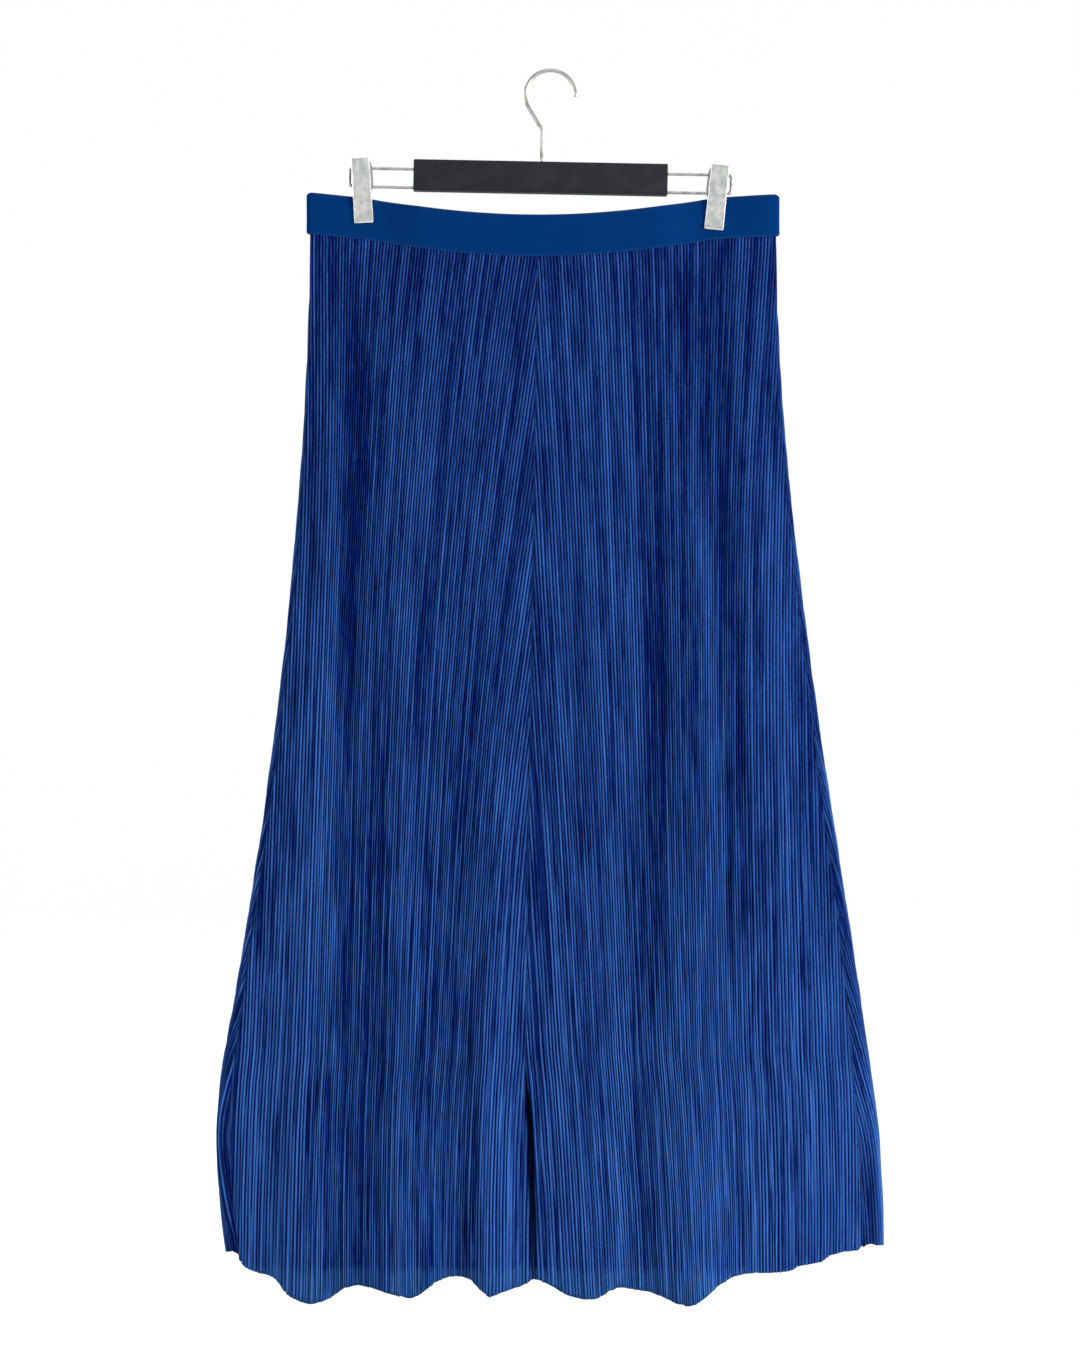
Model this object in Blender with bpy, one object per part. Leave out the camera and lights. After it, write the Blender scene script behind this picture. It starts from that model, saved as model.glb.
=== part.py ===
"""Pleated maxi skirt, hanging flat from a clip hanger.

Metres, +Z up. The front of the skirt faces -Y and +X is on the viewer's right. The origin is where
the inside of the hook rests on its rail. The cloth pieces are walls that follow one shared outline
of the hanging skirt, worked out section by section from the tables below.
"""
import functools
import math

import bmesh
import bpy
import numpy as np
from mathutils import Matrix, Vector

# ---------------------------------------------------------------- driving dimensions
GAP = 0.0003                      # clearance between pieces that meet

HOOK_WIRE = 0.0035                # diameter of the hook's wire
HOOK_INNER_RADIUS = 0.0210
HOOK_ARC = math.radians(211)      # from the tip, over the rail, to the straight run
STEM_X = -0.0082                  # the stem stands beside the middle of the hook
STEM_BEND_RADIUS = 0.009
STEM_IN_BAR = 0.012               # depth of the stem's socket

BAR_LENGTH = 0.231
BAR_DEPTH = 0.013
BAR_HEIGHT = 0.028
BAR_BEVEL = 0.0012
BAR_CENTRE = Vector((-0.0089, 0.0, -0.0962))
BAR_TILT = math.radians(1.1)      # the hanger hangs a little lower on the right

SLIDE_WIRE = 0.0027               # diameter of the wire that the clips slide on
SLIDE_UPPER = 0.0057              # upper run above the bar's middle
SLIDE_LOWER = -0.0111
SLIDE_REACH = 0.1736              # from the bar's middle to the turn of the wire
SLIDE_CORNER = 0.0035
SLIDE_IN_BAR = 0.010

CLIP_WIDTH = 0.017
CLIP_SHEET = 0.0011               # thickness of the pressed steel
CLIP_REACH = 0.0500               # from the wire down to the tip of the jaw
CLIP_TOP = 0.0090                 # from the wire up to the top of the jaw
CLIP_BEND = 0.0155                # the jaw turns inwards this far below the wire
CLIP_GRIP = 0.0360                # and is flat on the band from here to the tip
CLIP_SPLAY = 0.0080               # half the spread of the jaws at the top
CLIP_TAPER = 0.0012               # how much closer they are where they turn inwards
CLIP_LIP = 0.0022                 # height of the tip's flared lip
CLIP_FLARE = 0.0007
EAR_BOSS = 0.0032                 # radius of the ear round the wire
EAR_SHEET = 0.0010
FRONT_EAR_X = 0.0059              # the front jaw's ears straddle those of the back jaw
BACK_EAR_X = 0.0044
SPRING_WIRE = 0.0012
SPRING_TURNS = 3
SPRING_HALF_LENGTH = 0.0026
SPRING_CLEAR = 0.0004             # between the coil and the wire inside it

# side, distance of the clip from the bar's middle, its lean in degrees, where it grips the band
CLIP_COLUMNS = ("side", "along_bar", "lean", "grip_x")
CLIPS = (
    ("left", -0.1634, -3.1, -0.1703),
    ("right", 0.1624, 5.8, 0.1490),
)

BAND_HEIGHT = 0.038
BAND_WALL = 0.0020
BAND_PROUD = 0.0026               # the elastic is wider than the cloth at each side
BAND_Z_AT_CLIPS = -0.1139         # top edge of the band where the clips hold it
BAND_SAG = 0.0170                 # and how far it hangs through between them
BAND_RISE_LEFT = 0.0058           # the free ends beside the clips stand a little higher
BAND_RISE_RIGHT = 0.0027
BAND_SOFTNESS = 0.12              # how round the band's edge turns at the clips
BAND_MIDDLE = -0.0107
BAND_HALF_SPAN = 0.1597           # half the distance between the clips' grips
BAND_ROWS = (0.0, 0.78, 1.0)      # shares of the band's height, the middle one at the jaws' tips
BAND_COLUMNS_A_SIDE = 48

CLOTH_WALL = 0.0013
PLEATS_ON_A_FRONT = 50
PLEATS_ON_BACK = 100
PLEAT_HALF_DEPTH_TOP = 0.0007
PLEAT_HALF_DEPTH_HEM = 0.0010
PLEATS_TO_FULL_DEPTH = 1.5        # a panel's edge is flat, so that its seam is straight

LENS_POWER = 4                    # how flat the layers lie between the side edges
PINCH_HALF_DEPTH = BAND_WALL / 2 + GAP / 2
PINCH_FLAT = 0.012                # half width of the stretch that the jaws press flat
PINCH_FADE = 0.045                # and how far beside it the layers take to part
PINCH_END_Z = -0.1445             # below the jaws' tips the layers part again
PINCH_FADE_DOWN = 0.030

# The skirt's outline, from the top down: height, left and right edge, half of the depth between
# the layers, radius of the side edges, and how far the back panel comes round to the front.
SECTION_COLUMNS = ("z", "left", "right", "depth", "edge", "wrap_left", "wrap_right")
SECTIONS = (
    (-0.100, -0.2186, 0.2053, 0.0080, 0.0035, 0.0000, 0.0000),
    (-0.150, -0.2186, 0.2053, 0.0088, 0.0035, 0.0000, 0.0000),
    (-0.300, -0.2226, 0.2106, 0.0130, 0.0050, 0.0010, 0.0010),
    (-0.480, -0.2368, 0.2289, 0.0170, 0.0065, 0.0035, 0.0040),
    (-0.660, -0.2580, 0.2536, 0.0200, 0.0080, 0.0045, 0.0075),
    (-0.845, -0.2870, 0.2820, 0.0225, 0.0090, 0.0080, 0.0130),
    (-0.915, -0.2992, 0.2920, 0.0235, 0.0095, 0.0110, 0.0175),
    (-0.960, -0.3032, 0.2980, 0.0240, 0.0100, 0.0125, 0.0195),
    (-1.010, -0.3013, 0.3010, 0.0245, 0.0100, 0.0122, 0.0192),
    (-1.065, -0.2955, 0.3027, 0.0250, 0.0100, 0.0122, 0.0198),
    (-1.130, -0.2890, 0.3030, 0.0250, 0.0100, 0.0122, 0.0200),
)
ROW_LEVELS = (-0.380, -0.680, -0.890, -0.955, -1.030)

# Centre-front seam and the slit that it opens into: height, place and gap.
CENTRE_COLUMNS = ("z", "x", "gap")
CENTRE_SEAM = (
    (-0.150, -0.0112, GAP),
    (-0.890, -0.0230, GAP),
    (-0.917, -0.0217, 0.0027),
    (-0.955, -0.0185, 0.0040),
    (-1.030, -0.0162, 0.0047),
    (-1.096, -0.0151, 0.0031),
    (-1.130, -0.0151, 0.0031),
)

# Hem lines without their folds, from left to right.
HEM_COLUMNS = ("x", "z")
HEM_FRONT = (
    (-0.292, -1.0790),
    (-0.275, -1.0920),
    (-0.230, -1.0950),
    (0.180, -1.0950),
    (0.225, -1.0900),
    (0.258, -1.0780),
    (0.290, -1.0680),
)
HEM_BACK = (
    (-0.300, -1.0750),
    (-0.230, -1.0850),
    (0.230, -1.0820),
    (0.302, -1.0670),
)

# Long soft folds, from left to right: place at the waist and at the hem, half width, how far they
# stand out at the waist and at the hem, and how much lower they make the hem.
FOLD_COLUMNS = ("x_waist", "x_hem", "width", "out_waist", "out_hem", "drop")
FRONT_FOLDS = (
    (-0.196, -0.218, 0.029, 0.0015, 0.0140, 0.0190),
    (-0.128, -0.132, 0.031, 0.0015, 0.0110, 0.0130),
    (-0.064, -0.054, 0.021, 0.0008, 0.0100, 0.0140),
    (0.036, 0.032, 0.033, 0.0010, 0.0110, 0.0150),
    (0.106, 0.125, 0.031, 0.0015, 0.0140, 0.0190),
    (0.191, 0.222, 0.027, 0.0015, 0.0070, 0.0020),
)
BACK_FOLDS = (
    (-0.180, -0.214, 0.030, 0.0015, 0.0120, 0.0090),
    (-0.100, -0.120, 0.034, 0.0012, 0.0130, 0.0070),
    (-0.010, -0.022, 0.030, 0.0010, 0.0100, 0.0080),
    (0.070, 0.084, 0.036, 0.0015, 0.0140, 0.0080),
    (0.160, 0.196, 0.030, 0.0015, 0.0110, 0.0060),
)
FOLD_GROWTH = 1.8                 # folds deepen towards the hem
FOLD_ONSET = 0.17                 # share of the length in which they start below the band
FOLD_EDGE = 0.030                 # and die out this close to the side edges
FOLD_TOP_Z = -0.160
FOLD_HEM_Z = -1.095

EDGE_POINTS = 12                  # points of an outline round each side edge
FACE_POINTS = 181                 # and between them
HOLE_SIDES = 12


# ---------------------------------------------------------------- small helpers
def make_material(name, color, roughness, metallic=0.0):
    material = bpy.data.materials.new(name)
    material.use_nodes = True
    shader = material.node_tree.nodes["Principled BSDF"]
    shader.inputs["Base Color"].default_value = (*color, 1.0)
    shader.inputs["Roughness"].default_value = roughness
    shader.inputs["Metallic"].default_value = metallic
    return material


def add_object(name, data, material):
    thing = bpy.data.objects.new(name, data)
    bpy.context.collection.objects.link(thing)
    data.materials.append(material)
    return thing


def mesh_object(name, bm, material):
    bmesh.ops.recalc_face_normals(bm, faces=bm.faces)
    mesh = bpy.data.meshes.new(name)
    bm.to_mesh(mesh)
    bm.free()
    return add_object(name, mesh, material)


def make_helper(thing):
    """Marks an object as a tool of another one's modifiers, which isn't part of the model."""
    thing.hide_render = True
    thing.display_type = 'WIRE'
    return thing


def combine(thing, tool, operation):
    modifier = thing.modifiers.new(tool.name, 'BOOLEAN')
    modifier.object = tool
    modifier.operation = operation
    modifier.solver = 'EXACT'


def smooth_step(t):
    t = np.clip(t, 0.0, 1.0)
    return t * t * (3.0 - 2.0 * t)


def read_smooth(table, columns, name, at):
    """A column of a table read along its first column, as a smooth curve through the rows."""
    rows = np.array(sorted(table))
    key = rows[:, 0]
    value = rows[:, columns.index(name)]
    slope = np.gradient(value, key)
    at = np.clip(at, key[0], key[-1])
    i = np.clip(np.searchsorted(key, at) - 1, 0, len(key) - 2)
    span = key[i + 1] - key[i]
    t = (at - key[i]) / span
    start = (1 + 2 * t) * (1 - t) ** 2 * value[i] + t * (1 - t) ** 2 * span * slope[i]
    end = t * t * (3 - 2 * t) * value[i + 1] - t * t * (1 - t) * span * slope[i + 1]
    return start + end


def read_straight(table, columns, name, at):
    rows = np.array(sorted(table))
    return np.interp(at, rows[:, 0], rows[:, columns.index(name)])


def wire_object(name, points, diameter, sides_resolution, material):
    """A round wire along a line of points, with closed ends."""
    curve = bpy.data.curves.new(name, 'CURVE')
    curve.dimensions = '3D'
    curve.bevel_depth = diameter / 2
    curve.bevel_resolution = sides_resolution
    curve.use_fill_caps = True
    spline = curve.splines.new('POLY')
    spline.points.add(len(points) - 1)
    for point, place in zip(spline.points, points):
        point.co = (*place, 1.0)
    return add_object(name, curve, material)


def arc_points(centre, radius, start, end, count):
    """Points on an arc in the XZ plane, angles measured from +X towards +Z."""
    angles = np.linspace(start, end, count)
    return [centre + radius * Vector((math.cos(a), 0.0, math.sin(a))) for a in angles]


# ---------------------------------------------------------------- the hanging skirt's outline
def half_depth(x, z, left, right, depth, edge):
    """Half the distance between the front and back layers, between the round side edges."""
    middle = (left + right) / 2
    half_width = (right - left) / 2 - edge
    lens = 1.0 - np.clip(np.abs((x - middle) / half_width), 0.0, 1.0) ** LENS_POWER
    free = edge + (depth - edge) * lens
    pinch = np.zeros_like(x)
    for clip in CLIPS:
        distance = np.abs(x - clip[CLIP_COLUMNS.index("grip_x")])
        pinch = np.maximum(pinch, 1.0 - smooth_step((distance - PINCH_FLAT) / PINCH_FADE))
    pinch *= math.exp(min(0.0, (z - PINCH_END_Z) / PINCH_FADE_DOWN))
    return free + (PINCH_HALF_DEPTH - free) * pinch


class Outline:
    """The skirt's mid-wall outline at one height, measured along the cloth from its left edge."""

    def __init__(self, z, grow=0.0):
        values = {}
        for name in SECTION_COLUMNS[1:]:
            values[name] = float(read_smooth(SECTIONS, SECTION_COLUMNS, name, z))
        self.z = z
        self.left = values["left"] - grow
        self.right = values["right"] + grow
        self.wrap_left = values["wrap_left"]
        self.wrap_right = values["wrap_right"]
        edge = values["edge"]
        turn = np.linspace(0.0, math.pi / 2, EDGE_POINTS + 1)[:-1]
        across = np.linspace(self.left + edge, self.right - edge, FACE_POINTS)
        depth = half_depth(across, z, self.left, self.right, values["depth"], edge)
        left_x = self.left + edge * (1.0 - np.cos(turn))
        right_x = self.right - edge * (1.0 - np.cos(turn[::-1]))
        self.x = np.concatenate([left_x, across, right_x])
        self.y = np.concatenate([depth[0] * np.sin(turn), depth, depth[-1] * np.sin(turn[::-1])])
        steps = np.hypot(np.diff(self.x), np.diff(self.y))
        self.along = np.concatenate([[0.0], np.cumsum(steps)])
        self.length = self.along[-1]

    def along_at(self, x):
        return float(np.interp(x, self.x, self.along))

    def point(self, along, side):
        """Place and outward direction; side is -1 in front and 1 behind, and past an edge it turns."""
        if along < 0.0:
            along = -along
            side = -side
        if along > self.length:
            along = 2.0 * self.length - along
            side = -side
        step = 0.0006
        before = max(0.0, along - step)
        after = min(self.length, along + step)
        x = np.interp([before, along, after], self.along, self.x)
        y = np.interp([before, along, after], self.along, self.y)
        outward = Vector((-(y[2] - y[0]), side * (x[2] - x[0]), 0.0)).normalized()
        place = Vector((x[1], side * y[1], self.z))
        place += outward * self.fold(x[1], side)
        return place, outward

    def fold(self, x, side):
        """How far the long folds stand out here."""
        table = FRONT_FOLDS if side < 0 else BACK_FOLDS
        down = min(1.0, max(0.0, (FOLD_TOP_Z - self.z) / (FOLD_TOP_Z - FOLD_HEM_Z)))
        grown = down ** FOLD_GROWTH
        total = 0.0
        for x_waist, x_hem, width, out_waist, out_hem, _drop in table:
            centre = x_waist + (x_hem - x_waist) * down
            out = out_waist * min(1.0, down / FOLD_ONSET) + (out_hem - out_waist) * grown
            total += out * math.exp(-((x - centre) / width) ** 2)
        to_edge = min(x - self.left, self.right - x)
        return total * float(smooth_step(to_edge / FOLD_EDGE))


def soft_ramp(value):
    """Zero below nothing and the value itself above it, with a rounded corner."""
    return (value + math.hypot(value, BAND_SOFTNESS)) / 2


@functools.lru_cache(maxsize=None)
def outline_at(z, grow=0.0):
    return Outline(z, grow)


def band_top(x):
    """Height of the band's top edge, which hangs through between the clips."""
    inside = 1.0 - ((x - BAND_MIDDLE) / BAND_HALF_SPAN) ** 2
    rise = BAND_RISE_LEFT if x < BAND_MIDDLE else BAND_RISE_RIGHT
    return BAND_Z_AT_CLIPS - BAND_SAG * soft_ramp(inside) + rise * soft_ramp(-inside)


def hem_height(x, side):
    """Height of the hem, lower where a long fold comes forward."""
    table, folds = (HEM_FRONT, FRONT_FOLDS) if side < 0 else (HEM_BACK, BACK_FOLDS)
    height = float(read_straight(table, HEM_COLUMNS, "z", x))
    for _x_waist, x_hem, width, _out_waist, _out_hem, drop in folds:
        height -= drop * math.exp(-((x - x_hem) / width) ** 2)
    return height


def centre_edge(outline, sign):
    """Where a front panel ends at the centre seam: sign is -1 for the left panel, 1 for the right."""
    x = float(read_straight(CENTRE_SEAM, CENTRE_COLUMNS, "x", outline.z))
    gap = float(read_straight(CENTRE_SEAM, CENTRE_COLUMNS, "gap", outline.z))
    return outline.along_at(x) + sign * gap / 2


def side_seam(outline, side_name):
    """How far from the left edge, along the front, the side seam lies."""
    if side_name == "left":
        return outline.along_at(outline.left + outline.wrap_left)
    return outline.along_at(outline.right - outline.wrap_right)


# ---------------------------------------------------------------- cloth pieces
PANEL_EDGES = {
    "left": lambda o: (side_seam(o, "left") + GAP / 2, centre_edge(o, -1)),
    "right": lambda o: (centre_edge(o, 1), side_seam(o, "right") - GAP / 2),
    "back": lambda o: (-side_seam(o, "left") + GAP / 2,
                       2.0 * o.length - side_seam(o, "right") - GAP / 2),
}


def pleat_offset(column, pleats, down):
    """Height of the zigzag at a column: crests and valleys in turn, flat at the panel's edges."""
    depth = PLEAT_HALF_DEPTH_TOP + (PLEAT_HALF_DEPTH_HEM - PLEAT_HALF_DEPTH_TOP) * down
    from_edge = min(column, 2 * pleats - column) / 2
    strength = float(smooth_step(from_edge / PLEATS_TO_FULL_DEPTH))
    return depth * strength * (1.0 if column % 2 else -1.0)


def wall_from_rows(outer, inner, closed):
    """A closed wall between two grids of points; closed joins the last column to the first."""
    bm = bmesh.new()
    grids = []
    for grid in (outer, inner):
        grids.append([[bm.verts.new(place) for place in row] for row in grid])
    rows = len(outer)
    columns = len(outer[0])
    spans = columns if closed else columns - 1
    for row in range(rows - 1):
        for column in range(spans):
            after = (column + 1) % columns
            for grid in grids:
                bm.faces.new((grid[row][column], grid[row][after],
                              grid[row + 1][after], grid[row + 1][column]))
    out, inn = grids
    for row in (0, rows - 1):
        for column in range(spans):
            after = (column + 1) % columns
            bm.faces.new((out[row][column], out[row][after], inn[row][after], inn[row][column]))
    if not closed:
        for column in (0, columns - 1):
            for row in range(rows - 1):
                bm.faces.new((out[row][column], out[row + 1][column],
                              inn[row + 1][column], inn[row][column]))
    return bm


def row_height(row, level, panel, side, share):
    """Height of a panel's point: a fixed level, or the band's or hem's line in the end rows."""
    if level is not None:
        return level
    outline = outline_at(FOLD_TOP_Z if row == 0 else FOLD_HEM_Z)
    start, end = PANEL_EDGES[panel](outline)
    place, _outward = outline.point(start + (end - start) * share, side)
    if row == 0:
        return round(band_top(place.x) - BAND_HEIGHT - GAP, 5)
    return round(hem_height(place.x, side), 5)


def build_panel(name, panel, side, pleats, material):
    """A pleated panel: its columns run from the band to the hem, its rows lie at fixed heights."""
    outer = []
    inner = []
    for row, level in enumerate((None, *ROW_LEVELS, None)):
        outer_row = []
        inner_row = []
        for column in range(2 * pleats + 1):
            share = column / (2 * pleats)
            height = row_height(row, level, panel, side, share)
            outline = outline_at(height)
            start, end = PANEL_EDGES[panel](outline)
            place, outward = outline.point(start + (end - start) * share, side)
            down = (FOLD_TOP_Z - height) / (FOLD_TOP_Z - FOLD_HEM_Z)
            place += outward * pleat_offset(column, pleats, min(1.0, max(0.0, down)))
            outer_row.append(place + outward * CLOTH_WALL / 2)
            inner_row.append(place - outward * CLOTH_WALL / 2)
        outer.append(outer_row)
        inner.append(inner_row)
    return mesh_object(name, wall_from_rows(outer, inner, closed=False), material)


def build_waistband(material):
    """The elastic band: one closed ring, pressed flat by the clips and open between them."""
    outer = []
    inner = []
    guess = outline_at(BAND_Z_AT_CLIPS, BAND_PROUD)
    for share_down in BAND_ROWS:
        outer_row = []
        inner_row = []
        for column in range(2 * BAND_COLUMNS_A_SIDE):
            angle = math.pi * column / BAND_COLUMNS_A_SIDE
            share = (1.0 - math.cos(angle)) / 2
            side = -1 if column <= BAND_COLUMNS_A_SIDE else 1
            place, _outward = guess.point(guess.length * share, side)
            height = band_top(place.x) - BAND_HEIGHT * share_down
            outline = outline_at(round(height, 5), BAND_PROUD)
            place, outward = outline.point(outline.length * share, side)
            outer_row.append(place + outward * BAND_WALL / 2)
            inner_row.append(place - outward * BAND_WALL / 2)
        outer.append(outer_row)
        inner.append(inner_row)
    return mesh_object("waistband", wall_from_rows(outer, inner, closed=True), material)


# ---------------------------------------------------------------- hanger
def on_hanger(along, depth, up):
    """A point given along the bar, across it and up from its middle, in the tilted hanger."""
    return BAR_CENTRE + Matrix.Rotation(BAR_TILT, 3, 'Y') @ Vector((along, depth, up))


def hook_points():
    radius = HOOK_INNER_RADIUS + HOOK_WIRE / 2
    points = arc_points(Vector((0.0, 0.0, -HOOK_INNER_RADIUS)), radius, 0.0, HOOK_ARC, 24)
    slope = Vector((-math.sin(HOOK_ARC), 0.0, math.cos(HOOK_ARC)))
    lean = math.atan2(slope.x, -slope.z)
    bend_run = STEM_BEND_RADIUS * math.tan(lean / 2)
    corner = points[-1] + slope * ((STEM_X - points[-1].x) / slope.x)
    bend_centre = corner + Vector((-STEM_BEND_RADIUS, 0.0, -bend_run))
    points += arc_points(bend_centre, STEM_BEND_RADIUS, lean, 0.0, 6)
    socket_floor = on_hanger(STEM_X - BAR_CENTRE.x, 0.0, BAR_HEIGHT / 2 - STEM_IN_BAR)
    points.append(Vector((STEM_X, 0.0, socket_floor.z)))
    return points


def slide_points(sign):
    """One wire slide, from its upper socket in the bar round the turn to its lower socket."""
    inside = BAR_LENGTH / 2 - SLIDE_IN_BAR
    corners = ((SLIDE_UPPER, math.pi / 2, 0.0), (SLIDE_LOWER, 0.0, -math.pi / 2))
    points = [Vector((inside, 0.0, SLIDE_UPPER))]
    for up, start, end in corners:
        inward = -SLIDE_CORNER if up == SLIDE_UPPER else SLIDE_CORNER
        centre = Vector((SLIDE_REACH - SLIDE_CORNER, 0.0, up + inward))
        points += arc_points(centre, SLIDE_CORNER, start, end, 5)
    points.append(Vector((inside, 0.0, SLIDE_LOWER)))
    return [on_hanger(sign * p.x, p.y, p.z) for p in points]


def drill(name, start, end, radius):
    """A round cutter between two points."""
    bm = bmesh.new()
    axis = end - start
    turn = Vector((0.0, 0.0, 1.0)).rotation_difference(axis).to_matrix().to_4x4()
    place = Matrix.Translation((start + end) / 2) @ turn
    bmesh.ops.create_cone(bm, cap_ends=True, segments=HOLE_SIDES, radius1=radius, radius2=radius,
                          depth=axis.length, matrix=place)
    return make_helper(mesh_object(name, bm, DRILL_MATERIAL))


def build_bar(material):
    bm = bmesh.new()
    size = Matrix.Diagonal((BAR_LENGTH, BAR_DEPTH, BAR_HEIGHT, 1.0))
    bmesh.ops.create_cube(bm, size=1.0, matrix=size)
    bmesh.ops.bevel(bm, geom=bm.edges[:], offset=BAR_BEVEL, affect='EDGES', segments=2,
                    profile=0.5, material=-1)
    bar = mesh_object("hanger_bar", bm, material)
    bar.location = BAR_CENTRE
    bar.rotation_euler.y = BAR_TILT
    outside = 0.004                               # the drills start this far from the bar
    stem_top = on_hanger(STEM_X - BAR_CENTRE.x, 0.0, BAR_HEIGHT / 2 + outside)
    stem_floor = on_hanger(STEM_X - BAR_CENTRE.x, 0.0, BAR_HEIGHT / 2 - STEM_IN_BAR - GAP)
    stem_line = (Vector((STEM_X, 0.0, stem_top.z)), Vector((STEM_X, 0.0, stem_floor.z)))
    combine(bar, drill("stem_drill", *stem_line, round_clear(HOOK_WIRE)), 'DIFFERENCE')
    for sign in (-1, 1):
        for up in (SLIDE_UPPER, SLIDE_LOWER):
            mouth = on_hanger(sign * (BAR_LENGTH / 2 + outside), 0.0, up)
            floor = on_hanger(sign * (BAR_LENGTH / 2 - SLIDE_IN_BAR - GAP), 0.0, up)
            name = f"slide_drill_{sign}_{up:.4f}".replace("-", "m")
            combine(bar, drill(name, mouth, floor, round_clear(SLIDE_WIRE)), 'DIFFERENCE')
    return bar


def round_clear(diameter):
    """Radius of a many-sided hole whose flats clear a round wire."""
    return (diameter / 2 + GAP) / math.cos(math.pi / HOLE_SIDES)


def extrude_profile(outline, x_from, x_to):
    """A flat shape drawn as (y, z) points, made solid from one x to another."""
    bm = bmesh.new()
    face = bm.faces.new([bm.verts.new((x_from, y, z)) for y, z in outline])
    grown = bmesh.ops.extrude_face_region(bm, geom=[face])
    moved = [item for item in grown["geom"] if isinstance(item, bmesh.types.BMVert)]
    bmesh.ops.translate(bm, vec=(x_to - x_from, 0.0, 0.0), verts=moved)
    return bm


def jaw_outline():
    """Side view of a jaw's plate, as (y, z) points from the wire, with +y away from the band."""
    grip_y = PINCH_HALF_DEPTH + BAND_WALL / 2 + GAP
    inner = (
        (CLIP_SPLAY, CLIP_TOP),
        (CLIP_SPLAY - CLIP_TAPER, -CLIP_BEND),
        (grip_y, -CLIP_GRIP),
        (grip_y, -CLIP_REACH + CLIP_LIP),
        (grip_y + CLIP_FLARE, -CLIP_REACH),
    )
    outer = [(y + CLIP_SHEET, z + 0.0002) for y, z in reversed(inner)]
    return [*inner, *outer]


def ear_outline():
    """Side view of an ear: a round boss on the wire and an arm that joins it to the plate."""
    boss = []
    for step in range(8):
        angle = math.radians(110 + 200 * step / 7)
        boss.append((EAR_BOSS * math.cos(angle), EAR_BOSS * math.sin(angle)))
    plate_y = CLIP_SPLAY + CLIP_SHEET * 0.4
    arm = ((0.0042, -0.0105), (plate_y - 0.0009, -0.0140), (plate_y, 0.0), (plate_y, 0.0060))
    return [*boss, *arm]


def build_jaw(name, clip, face, material):
    """One pressed jaw: face is -1 for the front jaw and 1 for the back one, whose ears are inside."""
    _side, along_bar, lean, _grip = clip
    half = CLIP_WIDTH / 2
    pivot = on_hanger(along_bar, 0.0, SLIDE_UPPER)
    place = Matrix.Translation(pivot) @ Matrix.Rotation(math.radians(lean), 4, 'Y')
    to_face = Matrix.Diagonal((1.0, face, 1.0, 1.0))
    ear_x = FRONT_EAR_X if face < 0 else BACK_EAR_X
    plate = extrude_profile(jaw_outline(), -half, half)
    plate.transform(to_face)
    jaw = mesh_object(name, plate, material)
    jaw.matrix_world = place
    for sign in (-1, 1):
        middle = sign * ear_x
        ear = extrude_profile(ear_outline(), middle - EAR_SHEET / 2, middle + EAR_SHEET / 2)
        ear.transform(to_face)
        tool = make_helper(mesh_object(f"{name}_ear_{sign + 1}", ear, material))
        tool.matrix_world = place
        combine(jaw, tool, 'UNION')
    wire_from = on_hanger(along_bar - CLIP_WIDTH, 0.0, SLIDE_UPPER)
    wire_to = on_hanger(along_bar + CLIP_WIDTH, 0.0, SLIDE_UPPER)
    combine(jaw, drill(f"{name}_drill", wire_from, wire_to, round_clear(SLIDE_WIRE)), 'DIFFERENCE')
    return jaw


def build_spring(name, clip, material):
    """A coil on the wire, between the ears, whose two arms push the tops of the jaws apart."""
    _side, along_bar, _lean, _grip = clip
    radius = SLIDE_WIRE / 2 + SPRING_CLEAR + SPRING_WIRE / 2
    arm_y = CLIP_SPLAY - SPRING_WIRE / 2 - SPRING_CLEAR
    arm_z = CLIP_TOP - CLIP_LIP
    arm_angle = math.atan2(arm_z, arm_y)
    to_tangent = math.acos(radius / math.hypot(arm_y, arm_z))
    start = arm_angle + to_tangent
    end = math.pi - arm_angle - to_tangent + SPRING_TURNS * 2 * math.pi
    points = [Vector((-SPRING_HALF_LENGTH, arm_y, arm_z))]
    steps = 10 * SPRING_TURNS
    for step in range(steps + 1):
        angle = start + (end - start) * step / steps
        x = SPRING_HALF_LENGTH * (2 * step / steps - 1)
        points.append(Vector((x, radius * math.cos(angle), radius * math.sin(angle))))
    points.append(Vector((SPRING_HALF_LENGTH, -arm_y, arm_z)))
    along = Matrix.Rotation(BAR_TILT, 4, 'Y')
    place = Matrix.Translation(on_hanger(along_bar, 0.0, SLIDE_UPPER)) @ along
    return wire_object(name, [place @ p for p in points], SPRING_WIRE, 1, material)


# ---------------------------------------------------------------- the whole object
for old in list(bpy.data.objects):
    bpy.data.objects.remove(old, do_unlink=True)

DRILL_MATERIAL = make_material("drill", (0.5, 0.5, 0.5), 0.5)
cloth = make_material("pleated_cloth", (0.011, 0.040, 0.195), 0.42)
elastic = make_material("ribbed_elastic", (0.004, 0.037, 0.175), 0.80)
plate_steel = make_material("zinc_plated_steel", (0.62, 0.63, 0.63), 0.38, 1.0)
wire_steel = make_material("bright_wire", (0.55, 0.55, 0.53), 0.28, 1.0)
bar_plastic = make_material("dark_bar", (0.032, 0.033, 0.041), 0.62)

wire_object("hanger_hook", hook_points(), HOOK_WIRE, 3, wire_steel)
build_bar(bar_plastic)
wire_object("wire_loop_left", slide_points(-1), SLIDE_WIRE, 2, wire_steel)
wire_object("wire_loop_right", slide_points(1), SLIDE_WIRE, 2, wire_steel)
for one_clip in CLIPS:
    side_word = one_clip[CLIP_COLUMNS.index("side")]
    build_jaw(f"clip_{side_word}_front_jaw", one_clip, -1, plate_steel)
    build_jaw(f"clip_{side_word}_back_jaw", one_clip, 1, plate_steel)
    build_spring(f"clip_{side_word}_spring", one_clip, wire_steel)

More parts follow.
